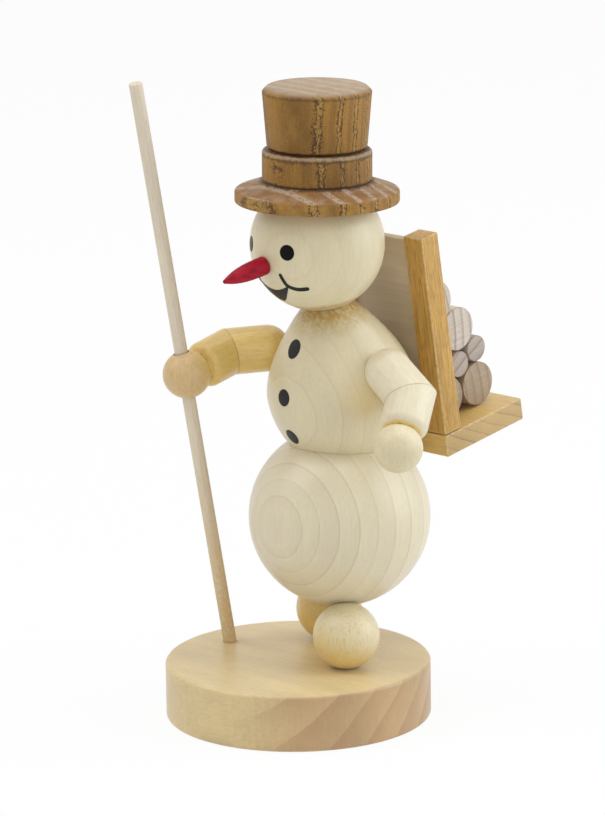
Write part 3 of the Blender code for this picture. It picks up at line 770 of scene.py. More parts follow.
class SNOWMAN_OT_base(SnowmanOperator, bpy.types.Operator):
    """Turn the base disc and drill the staff's socket"""

    bl_idname = "snowman.base"
    bl_label = "Base"

    def build(self):
        low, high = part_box("base_disc")
        radius = (high.x - low.x) / 2
        edge = self.sizes.base_edge
        profile = [(0, high.z)]
        profile += arc((radius - edge, high.z - edge), edge, 90, 0, 8)
        profile += arc((radius - edge, low.z + edge), edge, 0, -90, 8)
        profile += [(0, low.z)]
        base = turned("base_disc_fine", profile, Matrix.Identity(4), self.steps * 2)
        foot, top, staff_radius = rod_of("staff")
        up = (top - foot).normalized()
        reach = radius / 2
        cut(base, rod("socket", staff_radius + self.sizes.socket_clearance, foot - up * FIT, foot + up * reach, 48))
        colours = self.colours
        fibre = Vector((0.99, 0.138, 0))
        middle = Vector((0, 0, (low.z + high.z) / 2))
        pith = middle + Vector((-0.102, 0.733, -0.673)) * 172.2 * MM
        film = [(ground_of("foot_" + side), 2.8, 4.8, 2.0, 0.6, colours.film) for side in ("left", "right")]
        # The pale band round both rims of the base is partly wear and partly painted highlight.
        rim = Vector((radius / MM, ROUND, (high.z - low.z) / 2 / MM))
        wood = timber(
            "base_maple", colours.base, colours.base_ring, pith, fibre.to_track_quat("Z", "Y").to_euler(), spacing=6.3,
            wobble=1.6, uneven=0.25, line=0.4, ring=0.3, tone=0.36, long_grain=0.1, end_dark=0.66, fibre=0.05, cloud=0.12,
            fleck_shade=colours.base_ring, fleck=0.14, fleck_share=0.54, saw=0.05,
            edges=[(middle, (0, 0, 0), rim, 0.7, 0.6, colours.edge)], stains=film,
        )
        finish_piece(base, wood, node="base_disc")


def ground_of(node):
    """The middle of a node's underside."""
    low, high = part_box(node)
    return Vector(((low.x + high.x) / 2, (low.y + high.y) / 2, low.z))


class SNOWMAN_OT_feet(SnowmanOperator, bpy.types.Operator):
    """Turn the two foot balls, flat below and hollowed under the belly"""

    bl_idname = "snowman.feet"
    bl_label = "Feet"

    def build(self):
        sizes = self.sizes
        colours = self.colours
        belly, belly_radius = ball_of("belly_ball")
        shades = {"left": (colours.straw, colours.golden), "right": (colours.golden, colours.golden_ring)}
        for side, (shade, ring_shade) in shades.items():
            low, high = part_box("foot_" + side)
            centre = Vector(((low.x + high.x) / 2, (low.y + high.y) / 2, low.z + sizes.foot_radius - sizes.foot_flat))
            flat_angle = math.degrees(math.asin(1 - sizes.foot_flat / sizes.foot_radius))
            profile = arc((0, 0), sizes.foot_radius, 90, -flat_angle, 32)
            profile += [(0, sizes.foot_flat - sizes.foot_radius)]
            foot = turned("foot_" + side + "_fine", profile, Matrix.Translation(centre), self.steps)
            cut(foot, room(belly, belly_radius))
            low_left = ground_of("foot_" + side) - Vector((0.4, 0.3, 0)) * sizes.foot_radius
            wood = timber(
                "foot_" + side + "_wood", shade, ring_shade, pith_behind(centre, -43, 45 * MM), spacing=1.4, wobble=2.5,
                line=0.5, ring=0.1, fibre=0.04, fleck_shade=colours.golden_ring, fleck=0.22, fleck_share=0.57,
                stains=[(low_left, 7.0, 13.5, 4.0, 0.9, colours.golden)], lacquer=0.6,
            )
            finish_piece(foot, wood, node="foot_" + side)


class SNOWMAN_OT_belly(SnowmanOperator, bpy.types.Operator):
    """Turn the belly ball"""

    bl_idname = "snowman.belly"
    bl_label = "Belly"

    def build(self):
        colours = self.colours
        centre, radius = ball_of("belly_ball")
        profile = arc((0, 0), radius, 90, -90, 52)
        belly = turned("belly_ball_fine", profile, Matrix.Translation(centre), self.steps)
        depth = 400
        pitch = math.radians(-4)
        pith = pith_behind(centre, 3.5, depth * MM, pitch)
        wood = timber(
            "belly_wood", colours.belly, colours.pale_ring, pith, (pitch, 0, 0), skin=depth + radius / MM - 0.4, spacing=0.78,
            spread=0.588, wobble=0.7, uneven=0.2, line=0.14, ring=0.3, tone=0.16, cloud=0.06, lacquer=0.6,
        )
        finish_piece(belly, wood, node="belly_ball")


class SNOWMAN_OT_torso(SnowmanOperator, bpy.types.Operator):
    """Turn the pear of the torso, hollow it for head and belly, and paint its buttons"""

    bl_idname = "snowman.torso"
    bl_label = "Torso"

    def build(self):
        sizes = self.sizes
        colours = self.colours
        where = torso_frame()
        head, head_radius = head_ball()
        belly, belly_radius = ball_of("belly_ball")
        rise = (where.inverted() @ head).z
        torso = turned("torso_fine", torso_profile(sizes, 0.0, rise - head_radius * 0.8), where, self.steps)
        for centre, radius in ((head, head_radius), (belly, belly_radius)):
            cut(torso, room(centre, radius))
        neck = head_radius / MM
        wood = timber(
            "torso_wood", colours.pale, colours.pale_ring, pith_behind(where.translation, -6, 401 * MM), where.to_euler(),
            spacing=4.0, wobble=1.6, uneven=0.3, line=0.12, ring=0.24, tone=0.12, cloud=0.07,
            stains=[
                (head, neck + 0.8, neck + 7.5, 5.0, 0.85, colours.glue),
                (Vector((18.7, 3.3, 75.6)) * MM, 1.0, 7.0, 5.0, 0.4, colours.golden),
            ],
            lacquer=0.6,
        )
        finish_piece(torso, wood, node="torso")
        self.buttons(where)

    def buttons(self, where):
        sizes = self.sizes
        paint = brushed_paint("button_paint", self.colours.paint, self.colours.paint_worn, 0.34, 1.2, 0.3)
        heights = {"upper": 22.63, "middle": 12.75, "lower": 3.1}
        azimuth = math.radians(-4)
        for label, height in heights.items():

            def spot(x, y, height=height * MM):
                level = height + y * sizes.button_radius
                radius = torso_radius(sizes, level) + PAINT_LIFT
                turn = azimuth + x * sizes.button_radius / radius
                return where @ Vector((radius * math.sin(turn), -radius * math.cos(turn), level))

            finish_piece(round_patch("button_" + label, spot), paint)


def torso_profile(sizes, margin, top):
    """The pear from a closed top to its closed foot, pushed out by a margin."""
    bottom = sizes.torso_widest - sizes.torso_below
    steps = 60
    points = [(0, top)]
    for step in range(steps + 1):
        share = step / steps
        height = top + (bottom - top) * math.sin(share * math.pi / 2)
        points.append((max(0.0, torso_radius(sizes, height)) + margin, height))
    if margin:
        points.append((0, bottom))
    return points


class SNOWMAN_OT_head(SnowmanOperator, bpy.types.Operator):
    """Turn the head ball and drill it for the nose"""

    bl_idname = "snowman.head"
    bl_label = "Head"

    def build(self):
        colours = self.colours
        sizes = self.sizes
        centre, radius = head_ball()
        seat, axis = hat_seat()
        flat = (seat - centre).dot(axis)
        profile = [(0, flat)] + arc((0, 0), radius, math.degrees(math.asin(flat / radius)), -90, 48)
        head = turned("head_ball_fine", profile, along(centre, axis), self.steps)
        start, forward = nose_line(sizes)
        drill = rod("mortise", sizes.tenon_radius + FIT, start - forward * sizes.tenon, start + forward * sizes.tenon, 32)
        cut(head, drill)
        joint = centre - (torso_frame().to_3x3() @ Vector((0, 0, 1))) * radius
        wood = timber(
            "head_wood", colours.pale, colours.pale_ring, pith_behind(centre, 20, 90 * MM), spacing=3.6, line=0.12, ring=0.14,
            tone=0.06, cloud=0.07, stains=[(joint, 9.4, 11.2, 1.5, 0.8, colours.glue)], lacquer=0.6,
        )
        finish_piece(head, wood, node="head_ball")


def hat_seat():
    """Where the hat sits on the head's flat, and its axis, from the dowel between them."""
    low, high, _ = rod_of("hat_dowel")
    return (low + high) / 2, (high - low).normalized()


def nose_line(sizes):
    """Where the nose leaves the head, and which way it points."""
    centre, radius = head_ball()
    forward = face_direction(sizes, 0, -math.degrees(sizes.nose_drop))
    return centre + forward * radius, forward


def face_direction(sizes, turn, rise):
    """A direction from the head's centre, in degrees to the figure's left of its face and above level."""
    yaw = sizes.face_yaw + math.radians(turn)
    lift = math.radians(rise)
    return Vector((math.sin(yaw) * math.cos(lift), -math.cos(yaw) * math.cos(lift), math.sin(lift)))


class SNOWMAN_OT_face(SnowmanOperator, bpy.types.Operator):
    """Paint the eyes, the open mouth and the cheek lines on the head"""

    bl_idname = "snowman.face"
    bl_label = "Face"

    eye_turn = 25.8
    eye_rise = 3.0
    mouth_half = 22.4
    lip = (-35.3, -28.1)
    chin = (-50.3, -30.3)
    cheek = ((16.9, -16.2), (19.0, -22.2), (22.6, -28.1), (32.4, -31.1), (44.1, -29.6))

    def on_head(self, turn, rise):
        return self.centre + face_direction(self.sizes, turn, rise) * (self.radius + PAINT_LIFT)

    def build(self):
        colours = self.colours
        self.centre, self.radius = head_ball()
        black = brushed_paint("eye_paint", colours.paint, colours.paint, 0.2, 0.8, 0.1)
        dull = brushed_paint("mouth_paint", colours.paint, colours.paint_worn, 0.38, 1.4, 0.3)
        size = math.degrees(self.sizes.eye_radius / self.radius)
        for side, sign in (("left", 1), ("right", -1)):

            def eye(x, y, sign=sign):
                rise = self.eye_rise + y * size
                return self.on_head(sign * self.eye_turn + x * size / math.cos(math.radians(rise)), rise)

            finish_piece(round_patch("eye_" + side, eye), black)
            finish_piece(patch("cheek_line_" + side, 60, 8, self.cheek_rule(sign)), dull)
        finish_piece(patch("mouth", 48, 24, self.mouth_spot), dull)

    def mouth_spot(self, x, y):
        bow = x * x
        upper = self.lip[0] + (self.lip[1] - self.lip[0]) * bow
        lower = self.chin[0] + (self.chin[1] - self.chin[0]) * bow
        return self.on_head(x * self.mouth_half, lower + (upper - lower) * (y + 1) / 2)

    def cheek_rule(self, sign):
        line = [Vector(point) for point in self.cheek]
        half = math.degrees(self.sizes.cheek_width / 2 / self.radius)

        def spot(x, y):
            share = (x + 1) / 2 * (len(line) - 1)
            point = curve_at(line, share)
            ahead = curve_at(line, share + 0.02) - curve_at(line, share - 0.02)
            shrink = math.cos(math.radians(point.y))
            side = Vector((-ahead.y, ahead.x * shrink)).normalized()
            width = half * (0.88 + 0.12 * x) * math.sqrt(max(0.0, 1 - abs(x) ** 14))
            offset = side * y * width
            return self.on_head(sign * (point.x + offset.x / shrink), point.y + offset.y)

        return spot


def curve_at(points, share):
    """A smooth curve through points, by the number of the point and the share of the way to the next."""
    last = len(points) - 1
    share = min(max(share, 0.0), float(last))
    index = min(int(share), last - 1)
    t = share - index
    before = points[max(index - 1, 0)]
    first = points[index]
    second = points[index + 1]
    after = points[min(index + 2, last)]
    bend = 2 * before - 5 * first + 4 * second - after
    twist = 3 * first - before - 3 * second + after
    return 0.5 * (2 * first + (second - before) * t + bend * t * t + twist * t ** 3)


class SNOWMAN_OT_nose(SnowmanOperator, bpy.types.Operator):
    """Turn the carrot nose with the tenon that is glued into the head"""

    bl_idname = "snowman.nose"
    bl_label = "Nose"

    def build(self):
        sizes = self.sizes
        start, forward = nose_line(sizes)
        shank = sizes.nose_length - sizes.nose_tip
        edge = sizes.nose_edge
        steps = 28
        profile = [(0, sizes.nose_length)] + arc((0, shank), sizes.nose_tip, 78, 18, 5)
        for step in range(steps + 1):
            left = 1 - step / steps
            radius = sizes.nose_radius - (sizes.nose_radius - sizes.nose_tip) * left ** sizes.nose_fullness
            profile.append((radius, edge + (shank - edge) * left))
        profile += arc((sizes.nose_radius - edge, edge), edge, 0, -90, 4)[1:]
        profile += [(sizes.tenon_radius, 0), (sizes.tenon_radius, -sizes.tenon * 0.9), (0, -sizes.tenon * 0.9)]
        nose = turned("nose_fine", profile, along(start, forward), 64)
        paint = brushed_paint("nose_paint", self.colours.nose, self.colours.nose_deep, 0.45, 0.9, 0.22)
        finish_piece(nose, paint, node="nose")


class SNOWMAN_OT_hat(SnowmanOperator, bpy.types.Operator):
    """Turn the hat: brim, band, groove and flared crown"""

    bl_idname = "snowman.hat"
    bl_label = "Hat"

    def build(self):
        sizes = self.sizes
        seat, axis = hat_seat()
        turn = along(Vector(), axis).to_3x3()
        low, high = box_in("hat", turn)
        radius = (high.x - low.x) / 2
        height = high.z - low.z
        foot = seat + axis * (low.z - (turn.transposed() @ seat).z)
        slope = math.atan2(sizes.brim_rise - sizes.rim_height, radius - sizes.band_radius)
        round_height = sizes.rim_height - sizes.rim_round * (1 - math.sin(slope)) / math.cos(slope)
        soft = 0.15 * MM
        profile = [(0, height), (sizes.crown_high - sizes.crown_chamfer - soft, height)]
        profile += [
            (sizes.crown_high - sizes.crown_chamfer + soft, height - soft),
            (sizes.crown_high - soft, height - sizes.crown_chamfer + soft),
            (sizes.crown_high, height - sizes.crown_chamfer - soft),
            (sizes.crown_low + soft / 2, sizes.band_top + 2 * sizes.hat_groove),
            (sizes.crown_low - sizes.hat_groove / 2, sizes.band_top + sizes.hat_groove),
            (sizes.crown_low - sizes.hat_groove, sizes.band_top),
            (sizes.band_radius - sizes.band_bevel, sizes.band_top),
        ]
        profile += arc((sizes.band_radius - sizes.band_bevel, sizes.band_top - sizes.band_bevel), sizes.band_bevel, 75, 0, 5)
        profile += [(sizes.band_radius, sizes.brim_rise + soft), (sizes.band_radius - soft, sizes.brim_rise)]
        profile += arc((radius - sizes.rim_round, round_height), sizes.rim_round, 90 - math.degrees(slope), 0, 6)
        profile += arc((radius - sizes.rim_edge, sizes.rim_edge), sizes.rim_edge, 0, -90, 5)
        profile += [(0, 0)]
        hat = turned("hat_fine", profile, along(foot, axis), self.steps)
        finish_piece(hat, self.stained_ash(along(foot, axis), height), node="hat")

    def stained_ash(self, where, height):
        """Brown-stained open-pored wood: a chain of filled pores along each ring, dark grooves, worn brim and top."""
        sizes = self.sizes
        colours = self.colours
        material, tree, shader = new_material("hat_ash")
        _, local = millimetre_grain(tree, where.translation, where.to_euler())
        _, grain = millimetre_grain(tree, where.translation, (0, 0, 0))
        level = put(tree, "ShaderNodeSeparateXYZ", {0: local}).outputs["Z"]
        fibres = group(tree, "wood_fibres", {"Vector": grain, "Fineness": 2.2, "Fleck Share": 0.6})
        rise = put(tree, "ShaderNodeSeparateXYZ", {0: put(tree, "ShaderNodeTexCoord").outputs["Normal"]}).outputs["Z"]
        flat = remap(tree, rise, 0.55, 0.9)
        upright = calc(tree, "SUBTRACT", 1.0, flat)
        inside, outline, stripe, late_wood = self.pore_chains(tree, grain)
        look = mix(tree, remap(tree, fibres["Cloud"], 0.48, 0.75, 0.0, 0.7), rgba(colours.hat), rgba(colours.hat_dark))
        look = mix(tree, late_wood, look, rgba(colours.hat_dark))
        look = darkened(tree, look, shading(tree, fibres["Fibre"], 0.12))
        look = darkened(tree, look, shading(tree, noise(tree, grain, 2.2, 3.0), 0.2))
        on_rim = remap(tree, level, sizes.rim_height / MM - 0.6, sizes.rim_height / MM - 0.2, 1.0, 0.0)
        patches = remap(tree, noise(tree, grain, 0.24, 3.0), 0.42, 0.6, 0.0, 0.3)
        look = mix(tree, calc(tree, "MULTIPLY", on_rim, patches), look, rgba(colours.hat_pore))
        on_top = remap(tree, level, height / MM - 0.9, height / MM - 0.1)
        worn = remap(tree, noise(tree, grain, 0.35, 3.0), 0.35, 0.7, 0.0, 0.45)
        brim_look = mix(tree, worn, rgba(colours.hat_red), rgba(colours.hat_worn))
        look = mix(tree, calc(tree, "MULTIPLY", flat, 0.7), look, brim_look)
        look = mix(tree, calc(tree, "MULTIPLY", on_top, 0.5), look, rgba(colours.hat_worn))
        look = mix(tree, calc(tree, "MULTIPLY", calc(tree, "MULTIPLY", stripe, flat), 0.7), look, rgba(colours.hat_worn))
        look = mix(tree, calc(tree, "MULTIPLY", calc(tree, "MULTIPLY", inside, upright), 0.4), look, rgba(colours.hat_pore))
        look = mix(tree, calc(tree, "MULTIPLY", calc(tree, "MULTIPLY", outline, upright), 0.8), look, rgba(colours.hat_line))
        crest = (sizes.band_top - sizes.band_bevel / 2) / MM
        bevel = remap(tree, calc(tree, "ABSOLUTE", calc(tree, "SUBTRACT", level, crest)), 0.2, 0.6, 0.35, 0.0)
        look = mix(tree, bevel, look, rgba(colours.hat_worn))
        lines = (
            (sizes.band_top + sizes.hat_groove * 0.6, 0.2, 0.3, 0.85),
            (sizes.band_top - sizes.band_bevel * 1.3, 0.15, 0.9, 0.55),
            (sizes.brim_rise + 0.1 * MM, 0.2, 0.4, 0.8),
            (height - sizes.crown_chamfer - 0.2 * MM, 0.1, 0.5, 0.42),
        )
        for place_up, half, ragged, weight in lines:
            away = calc(tree, "ABSOLUTE", calc(tree, "SUBTRACT", level, place_up / MM))
            uneven = calc(tree, "MULTIPLY", calc(tree, "SUBTRACT", noise(tree, local, 0.9, 3.0), 0.5), ragged * 2)
            mask = remap(tree, calc(tree, "ADD", away, uneven), half, half + 0.35, weight, 0.0)
            look = mix(tree, mask, look, rgba(colours.hat_line))
        shader.inputs["Specular IOR Level"].default_value = 0.35
        tree.links.new(look, shader.inputs["Base Color"])
        tree.links.new(remap(tree, fibres["Fibre"], 0.3, 0.7, 0.66, 0.48, "LINEAR"), shader.inputs["Roughness"])
        relief = calc(tree, "MULTIPLY_ADD", outline, -1.2, fibres["Fibre"])
        inputs = {"Height": relief, "Strength": 0.4, "Distance": 0.1 * MM}
        tree.links.new(put(tree, "ShaderNodeBump", inputs).outputs[0], shader.inputs["Normal"])
        return material

    def pore_chains(self, tree, grain):
        """Masks along each growth ring from front to back: the pores' filling, their dark outline, the pale stripe
        that they make on a flat face, and the darker late wood before them.
        """
        spacing = 4.2
        one_ring = 0.8
        front = -7.4
        depth = put(tree, "ShaderNodeSeparateXYZ", {0: grain}).outputs["Y"]
        wider = calc(tree, "MAXIMUM", calc(tree, "SUBTRACT", front, depth), 0.0)
        depth = calc(tree, "MULTIPLY_ADD", wider, 0.21, depth)
        drift = calc(tree, "SUBTRACT", noise(tree, scaled(tree, grain, (0.4, 0.4, 1)), 0.3, 2.0), 0.5)
        depth = calc(tree, "MULTIPLY_ADD", drift, 0.9, depth)
        turns = calc(tree, "DIVIDE", calc(tree, "SUBTRACT", depth, one_ring), spacing)
        away = calc(tree, "MULTIPLY", calc(tree, "PINGPONG", turns, 0.5), spacing)
        bulge = noise(tree, scaled(tree, grain, (1, 1, 0.6)), 1.2, 3.0, 0.6)
        half = remap(tree, bulge, 0.3, 0.7, 0.15, 0.72, "LINEAR")
        beyond = calc(tree, "SUBTRACT", away, half)
        broken = remap(tree, noise(tree, grain, 1.4, 2.0), 0.32, 0.5)
        inside = calc(tree, "MULTIPLY", remap(tree, beyond, -0.2, 0.0, 1.0, 0.0), broken)
        outline = remap(tree, calc(tree, "ABSOLUTE", beyond), 0.05, 0.2, 1.0, 0.0)
        specks = remap(tree, noise(tree, scaled(tree, grain, (1, 1, 0.7)), 2.6, 2.0), 0.54, 0.6)
        outline = calc(tree, "MULTIPLY", calc(tree, "MAXIMUM", outline, specks), broken)
        outline = calc(tree, "MULTIPLY", outline, remap(tree, away, 0.65, 0.95, 1.0, 0.0))
        dots = remap(tree, noise(tree, grain, 1.5, 2.0), 0.36, 0.54, 0.15, 1.0)
        stripe = calc(tree, "MULTIPLY", remap(tree, away, 0.45, 0.8, 1.0, 0.0), dots)
        before = calc(tree, "PINGPONG", calc(tree, "ADD", turns, 0.4), 0.5)
        late_wood = remap(tree, before, 0.04, 0.24, 0.4, 0.0)
        return inside, outline, stripe, late_wood


class SNOWMAN_OT_arms(SnowmanOperator, bpy.types.Operator):
    """Turn both arms, mitred at the elbow, let into the torso and dished for the hands"""

    bl_idname = "snowman.arms"
    bl_label = "Arms"

    def build(self):
        sizes = self.sizes
        colours = self.colours
        self.arm("left", sizes.elbow_left, sizes.upper_left, colours.cream, colours.pale_ring)
        self.arm("right", sizes.elbow_right, sizes.upper_right, colours.golden, colours.golden_ring)

    def arm(self, side, elbow, upper, shade, ring_shade):
        sizes = self.sizes
        hand = hand_centre(side)
        elbow = Vector(elbow)
        upper = Vector(upper).normalized()
        fore = (hand - elbow).normalized()
        mitre = (upper + fore).normalized()
        spare = sizes.arm_radius
        end = sizes.shoulder_reach + spare
        profile = [(0, end), (sizes.arm_radius, end)] + arc((0, 0), sizes.arm_radius, 0, -90, 24)
        start = elbow - upper * sizes.shoulder_reach
        upper_arm = turned("upper_arm_" + side + "_fine", profile, along(start, upper), self.steps)
        trim(upper_arm, elbow - mitre * FIT / 2, mitre)
        where = torso_frame()
        torso = torso_profile(sizes, FIT, (where.inverted() @ head_ball()[0]).z - head_ball()[1])
        cut(upper_arm, turned("room", torso, where, ROOM_STEPS))
        rise = (hand - elbow).length + spare
        profile = [(0, rise), (sizes.arm_radius, rise)] + wrist_profile(sizes)
        forearm = turned("forearm_" + side + "_fine", profile, along(hand, -fore), self.steps)
        trim(forearm, elbow + mitre * FIT / 2, -mitre)
        for piece, part, axis in ((upper_arm, "upper_arm_", upper), (forearm, "forearm_", fore)):
            turn = axis.to_track_quat("Z", "Y").to_euler()
            wrist = sizes.hand_radius / MM
            mottle, glue = (0.1, 0.75) if side == "left" else (0.16, 0.25)
            # The glue stain at the wrist takes the lightened glue colour, painted light in the shaded gap by the hand.
            wood = timber(
                part + side + "_wood", shade, ring_shade, elbow + Vector((0.05, 0.06, 0.004)), turn, spacing=3.4, ring=0.08,
                tone=0.05, fibre=0.03, fineness=1.6, cloud=0.08, fleck_shade=ring_shade, fleck=mottle, fleck_share=0.54,
                stains=[(hand, wrist + 0.3, wrist + 1.3, 1.4, glue, self.colours.glue_with_painted_light)], lacquer=0.5,
                seams=[(elbow, mitre, 0.14, 0.4, self.colours.golden_ring)],
            )
            finish_piece(piece, wood, node=part + side)
        # The left bead takes the lightened glue colour too, painted light in the shaded wrist gap.
        glue = (self.colours.glue_with_painted_light, self.colours.glue) if side == "left" else (shade, ring_shade)
        self.glue_bead("wrist_glue_" + side, along(hand, -fore), glue)

    def glue_bead(self, name, where, shades):
        """A bead of dried glue between hand and forearm, thicker in some places than in others."""
        sizes = self.sizes
        reach, rise = wrist_profile(sizes)[WRIST_STEPS]
        bead = turned(name, arc((reach, rise), sizes.glue_bead, 0, 360, 12), where, 72)
        for vertex in bead.data.vertices:
            local = where.inverted() @ vertex.co
            round_about = math.atan2(local.y, local.x)
            middle = Vector((reach * math.cos(round_about), reach * math.sin(round_about), rise))
            swell = 0.8 + 0.2 * math.sin(2 * round_about + 0.6) + 0.12 * math.sin(5 * round_about)
            vertex.co = where @ (middle + (local - middle) * swell)
        finish_piece(bead, brushed_paint(name, *shades, 0.25, 0.8, 0.5))


def wrist_profile(sizes):
    """A forearm's rounded end, measured from its hand's centre, and the dish that the hand sits in."""
    seat = sizes.hand_radius + FIT
    centre = Vector((sizes.arm_radius - sizes.wrist_round, sizes.wrist_seat + sizes.wrist_round))
    span = 2 * sizes.wrist_round * centre.length
    swing = math.acos((seat ** 2 - centre.length_squared - sizes.wrist_round ** 2) / span)
    rounding = arc(centre, sizes.wrist_round, 0, math.degrees(math.atan2(centre.y, centre.x) - swing), WRIST_STEPS)
    lip_radius, lip_height = rounding[-1]
    return rounding + arc((0, 0), seat, math.degrees(math.atan2(lip_height, lip_radius)), 90, 14)[1:]


def hand_centre(side):
    low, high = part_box("hand_" + side)
    return (low + high) / 2


def wrist_side(side):
    """The point of a hand's ball that faces its forearm."""
    low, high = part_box("forearm_" + side)
    towards = (low + high) / 2 - hand_centre(side)
    return hand_centre(side) + towards.normalized() * 5.5 * MM


class SNOWMAN_OT_hands(SnowmanOperator, bpy.types.Operator):
    """Turn the two hand balls and bore the right one for the staff"""

    bl_idname = "snowman.hands"
    bl_label = "Hands"

    def build(self):
        sizes = self.sizes
        colours = self.colours
        shades = {
            "left": (colours.pale, colours.tan, colours.cream),
            "right": (colours.tan, colours.tan_ring, colours.golden),
        }
        for side, (shade, ring_shade, glow) in shades.items():
            centre = hand_centre(side)
            low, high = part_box("hand_" + side)
            profile = arc((0, 0), min(high - low) / 2, 90, -90, 40)
            hand = turned("hand_" + side + "_fine", profile, Matrix.Translation(centre), self.steps)
            if side == "right":
                foot, top, radius = rod_of("staff")
                up = (top - foot).normalized()
                near = foot + up * (centre - foot).dot(up)
                reach = up * sizes.hand_radius * 2
                cut(hand, rod("bore", radius + sizes.bore_clearance, near - reach, near + reach, 48))
            wood = timber(
                "hand_" + side + "_wood", shade, ring_shade, pith_behind(centre, -43, 50 * MM), spacing=2.6, ring=0.1, fibre=0.1,
                fleck_shade=ring_shade, fleck=0.16, fleck_share=0.55,
                stains=[(wrist_side(side), 5.5, 9.0, 3.0, 0.85, glow)],
            )
            finish_piece(hand, wood, node="hand_" + side)


class SNOWMAN_OT_staff(SnowmanOperator, bpy.types.Operator):
    """Turn the staff, a thin raw rod that lifts out of the hand and the base"""

    bl_idname = "snowman.staff"
    bl_label = "Staff"

    def build(self):
        colours = self.colours
        foot, top, radius = rod_of("staff")
        staff = rod("staff_fine", radius, foot, top, 48, self.sizes.staff_edge)
        turn = (top - foot).normalized().to_track_quat("Z", "Y").to_euler()
        # The staff is yellower towards its foot, fading out about 60 mm up.
        wood = timber(
            "staff_wood", colours.staff, colours.log_ring, foot + Vector((0.03, 0.04, 0)), turn, spacing=1.6, line=0.4, ring=0.08,
            fibre=0.08, fineness=3.0, fleck_shade=colours.tan_ring, fleck=0.08, fleck_share=0.6, rough=(0.55, 0.7), lacquer=0.0,
            stains=[(foot, 5.0, 60.0, 16.0, 0.8, colours.staff_low)],
        )
        finish_piece(staff, wood, "staff", "staff")


class SNOWMAN_OT_carrier(SnowmanOperator, bpy.types.Operator):
    """Saw the carrier's shelf, its two grooved rails and its panel"""

    bl_idname = "snowman.carrier"
    bl_label = "Carrier"

    def build(self):
        colours = self.colours
        turn = carrier_turn()
        edge = self.sizes.board_edge
        up = turn.to_euler()
        lie = (turn @ Matrix.Rotation(math.radians(90), 3, "Y")).to_euler()
        panel_low, panel_high = box_in("carrier_panel", turn)
        panel = board("carrier_panel_fine", panel_low, panel_high, turn, edge / 2)
        # Each board's pale edge band is partly wear and partly painted highlight.
        wood = timber(
            "panel_wood", colours.panel, colours.rail, turn @ panel_low + Vector((0.02, 0.2, 0)), lie, spacing=4.0, ring=0.06,
            tone=0.04, fibre=0.1, fineness=1.4, cloud=0.14, edges=[self.worn(turn, panel_low, panel_high)],
            rough=(0.5, 0.62), lacquer=0.1,
        )
        finish_piece(panel, wood, node="carrier_panel")
        for side in ("left", "right"):
            node = "carrier_rail_" + side
            low, high = box_in(node, turn)
            rail = board(node + "_fine", low, high, turn, edge)
            slack = Vector((FIT, FIT, FIT))
            cut(rail, board("groove", panel_low - slack, panel_high + slack, turn, edge / 4))
            wood = timber(
                "rail_" + side + "_beech", colours.rail, colours.rail_fleck, turn @ low + Vector((0.05, 0.06, 0)), up, spacing=2.6,
                ring=0.2, fibre=0.36, fineness=2.2, cloud=0.16, fleck_shade=colours.rail_fleck, fleck=0.3, fleck_share=0.56,
                edges=[self.worn(turn, low, high)], lacquer=0.15,
            )
            finish_piece(rail, wood, node=node)
        low, high = box_in("carrier_shelf", turn)
        hair = Vector((1, 1, 1)) * FIT / 3
        shelf = board("carrier_shelf_fine", low + hair, high - hair, turn, edge)
        pith = turn @ ((low + high) / 2 + Vector((0, 0.49, 0.87)) * 160 * MM)
        wood = timber(
            "shelf_beech", colours.shelf, colours.log_ring, pith, lie, spacing=2.6, wobble=1.2, uneven=0.3, line=0.2, ring=0.8,
            tone=0.16, long_grain=0.08, end_dark=0.34, fibre=0.08, cloud=0.1, fleck_shade=colours.rail_fleck, fleck=0.14, fleck_share=0.58,
            edges=[self.worn(turn, low, high)],
        )
        finish_piece(shelf, wood, node="carrier_shelf")

    def worn(self, turn, low, high):
        """The pale band along a board's edges, partly wear and partly painted highlight."""
        return turn @ ((low + high) / 2), turn.to_euler(), (high - low) / 2 / MM, 0.34, 0.5, self.colours.edge


class SNOWMAN_OT_logs(SnowmanOperator, bpy.types.Operator):
    """Saw the six logs on the carrier"""

    bl_idname = "snowman.logs"
    bl_label = "Logs"

    def build(self):
        colours = self.colours
        turn = carrier_turn()
        lie = (turn @ Matrix.Rotation(math.radians(90), 3, "Y")).to_euler()
        logs = {
            "lower_front": (6, colours.log_brown),
            "lower_rear": (-4, colours.log_brown),
            "middle_front": (62, colours.log),
            "middle_rear": (66, colours.log),
            "upper": (3, colours.log_pale),
            "top": (-8, colours.log_pale),
        }
        for number, (name, (lean, shade)) in enumerate(logs.items()):
            node = "log_" + name
            left, right, radius = rod_of(node)
            log = rod(node + "_fine", radius, left, right, 72, self.sizes.log_edge)
            swing = math.radians(lean)
            pith = left + turn @ Vector((0, -math.cos(swing), math.sin(swing))) * (38 + 0.7 * number) * MM
            rim = Vector((radius / MM, ROUND, (right - left).length / 2 / MM))
            wood = timber(
                node + "_wood", shade, colours.log_ring, pith, lie, spacing=2.5, wobble=1.0, line=0.42, ring=0.6, tone=0.2,
                long_grain=0.25, fibre=0.1, fineness=3.5, fleck_shade=colours.log_ring, fleck=0.2, saw=0.14, rough=(0.6, 0.75),
                edges=[((left + right) / 2, lie, rim, 0.3, 0.7, colours.bark)], bump=0.15, lacquer=0.0,
            )
            finish_piece(log, wood, node=node)


class SNOWMAN_OT_dowels(SnowmanOperator, bpy.types.Operator):
    """Give the hidden dowels their raw beech"""

    bl_idname = "snowman.dowels"
    bl_label = "Dowels"

    def build(self):
        colours = self.colours
        for node in ("foot_dowel_left", "foot_dowel_right", "waist_dowel", "neck_dowel", "hat_dowel", "carrier_dowel"):
            low, high, _ = rod_of(node)
            turn = (high - low).normalized().to_track_quat("Z", "Y").to_euler()
            wood = timber(node + "_beech", colours.shelf, colours.rail_fleck, low + Vector((0.006, 0.004, 0)), turn, spacing=1.4)
            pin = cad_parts[node]
            pin.data.materials.clear()
            pin.data.materials.append(wood)


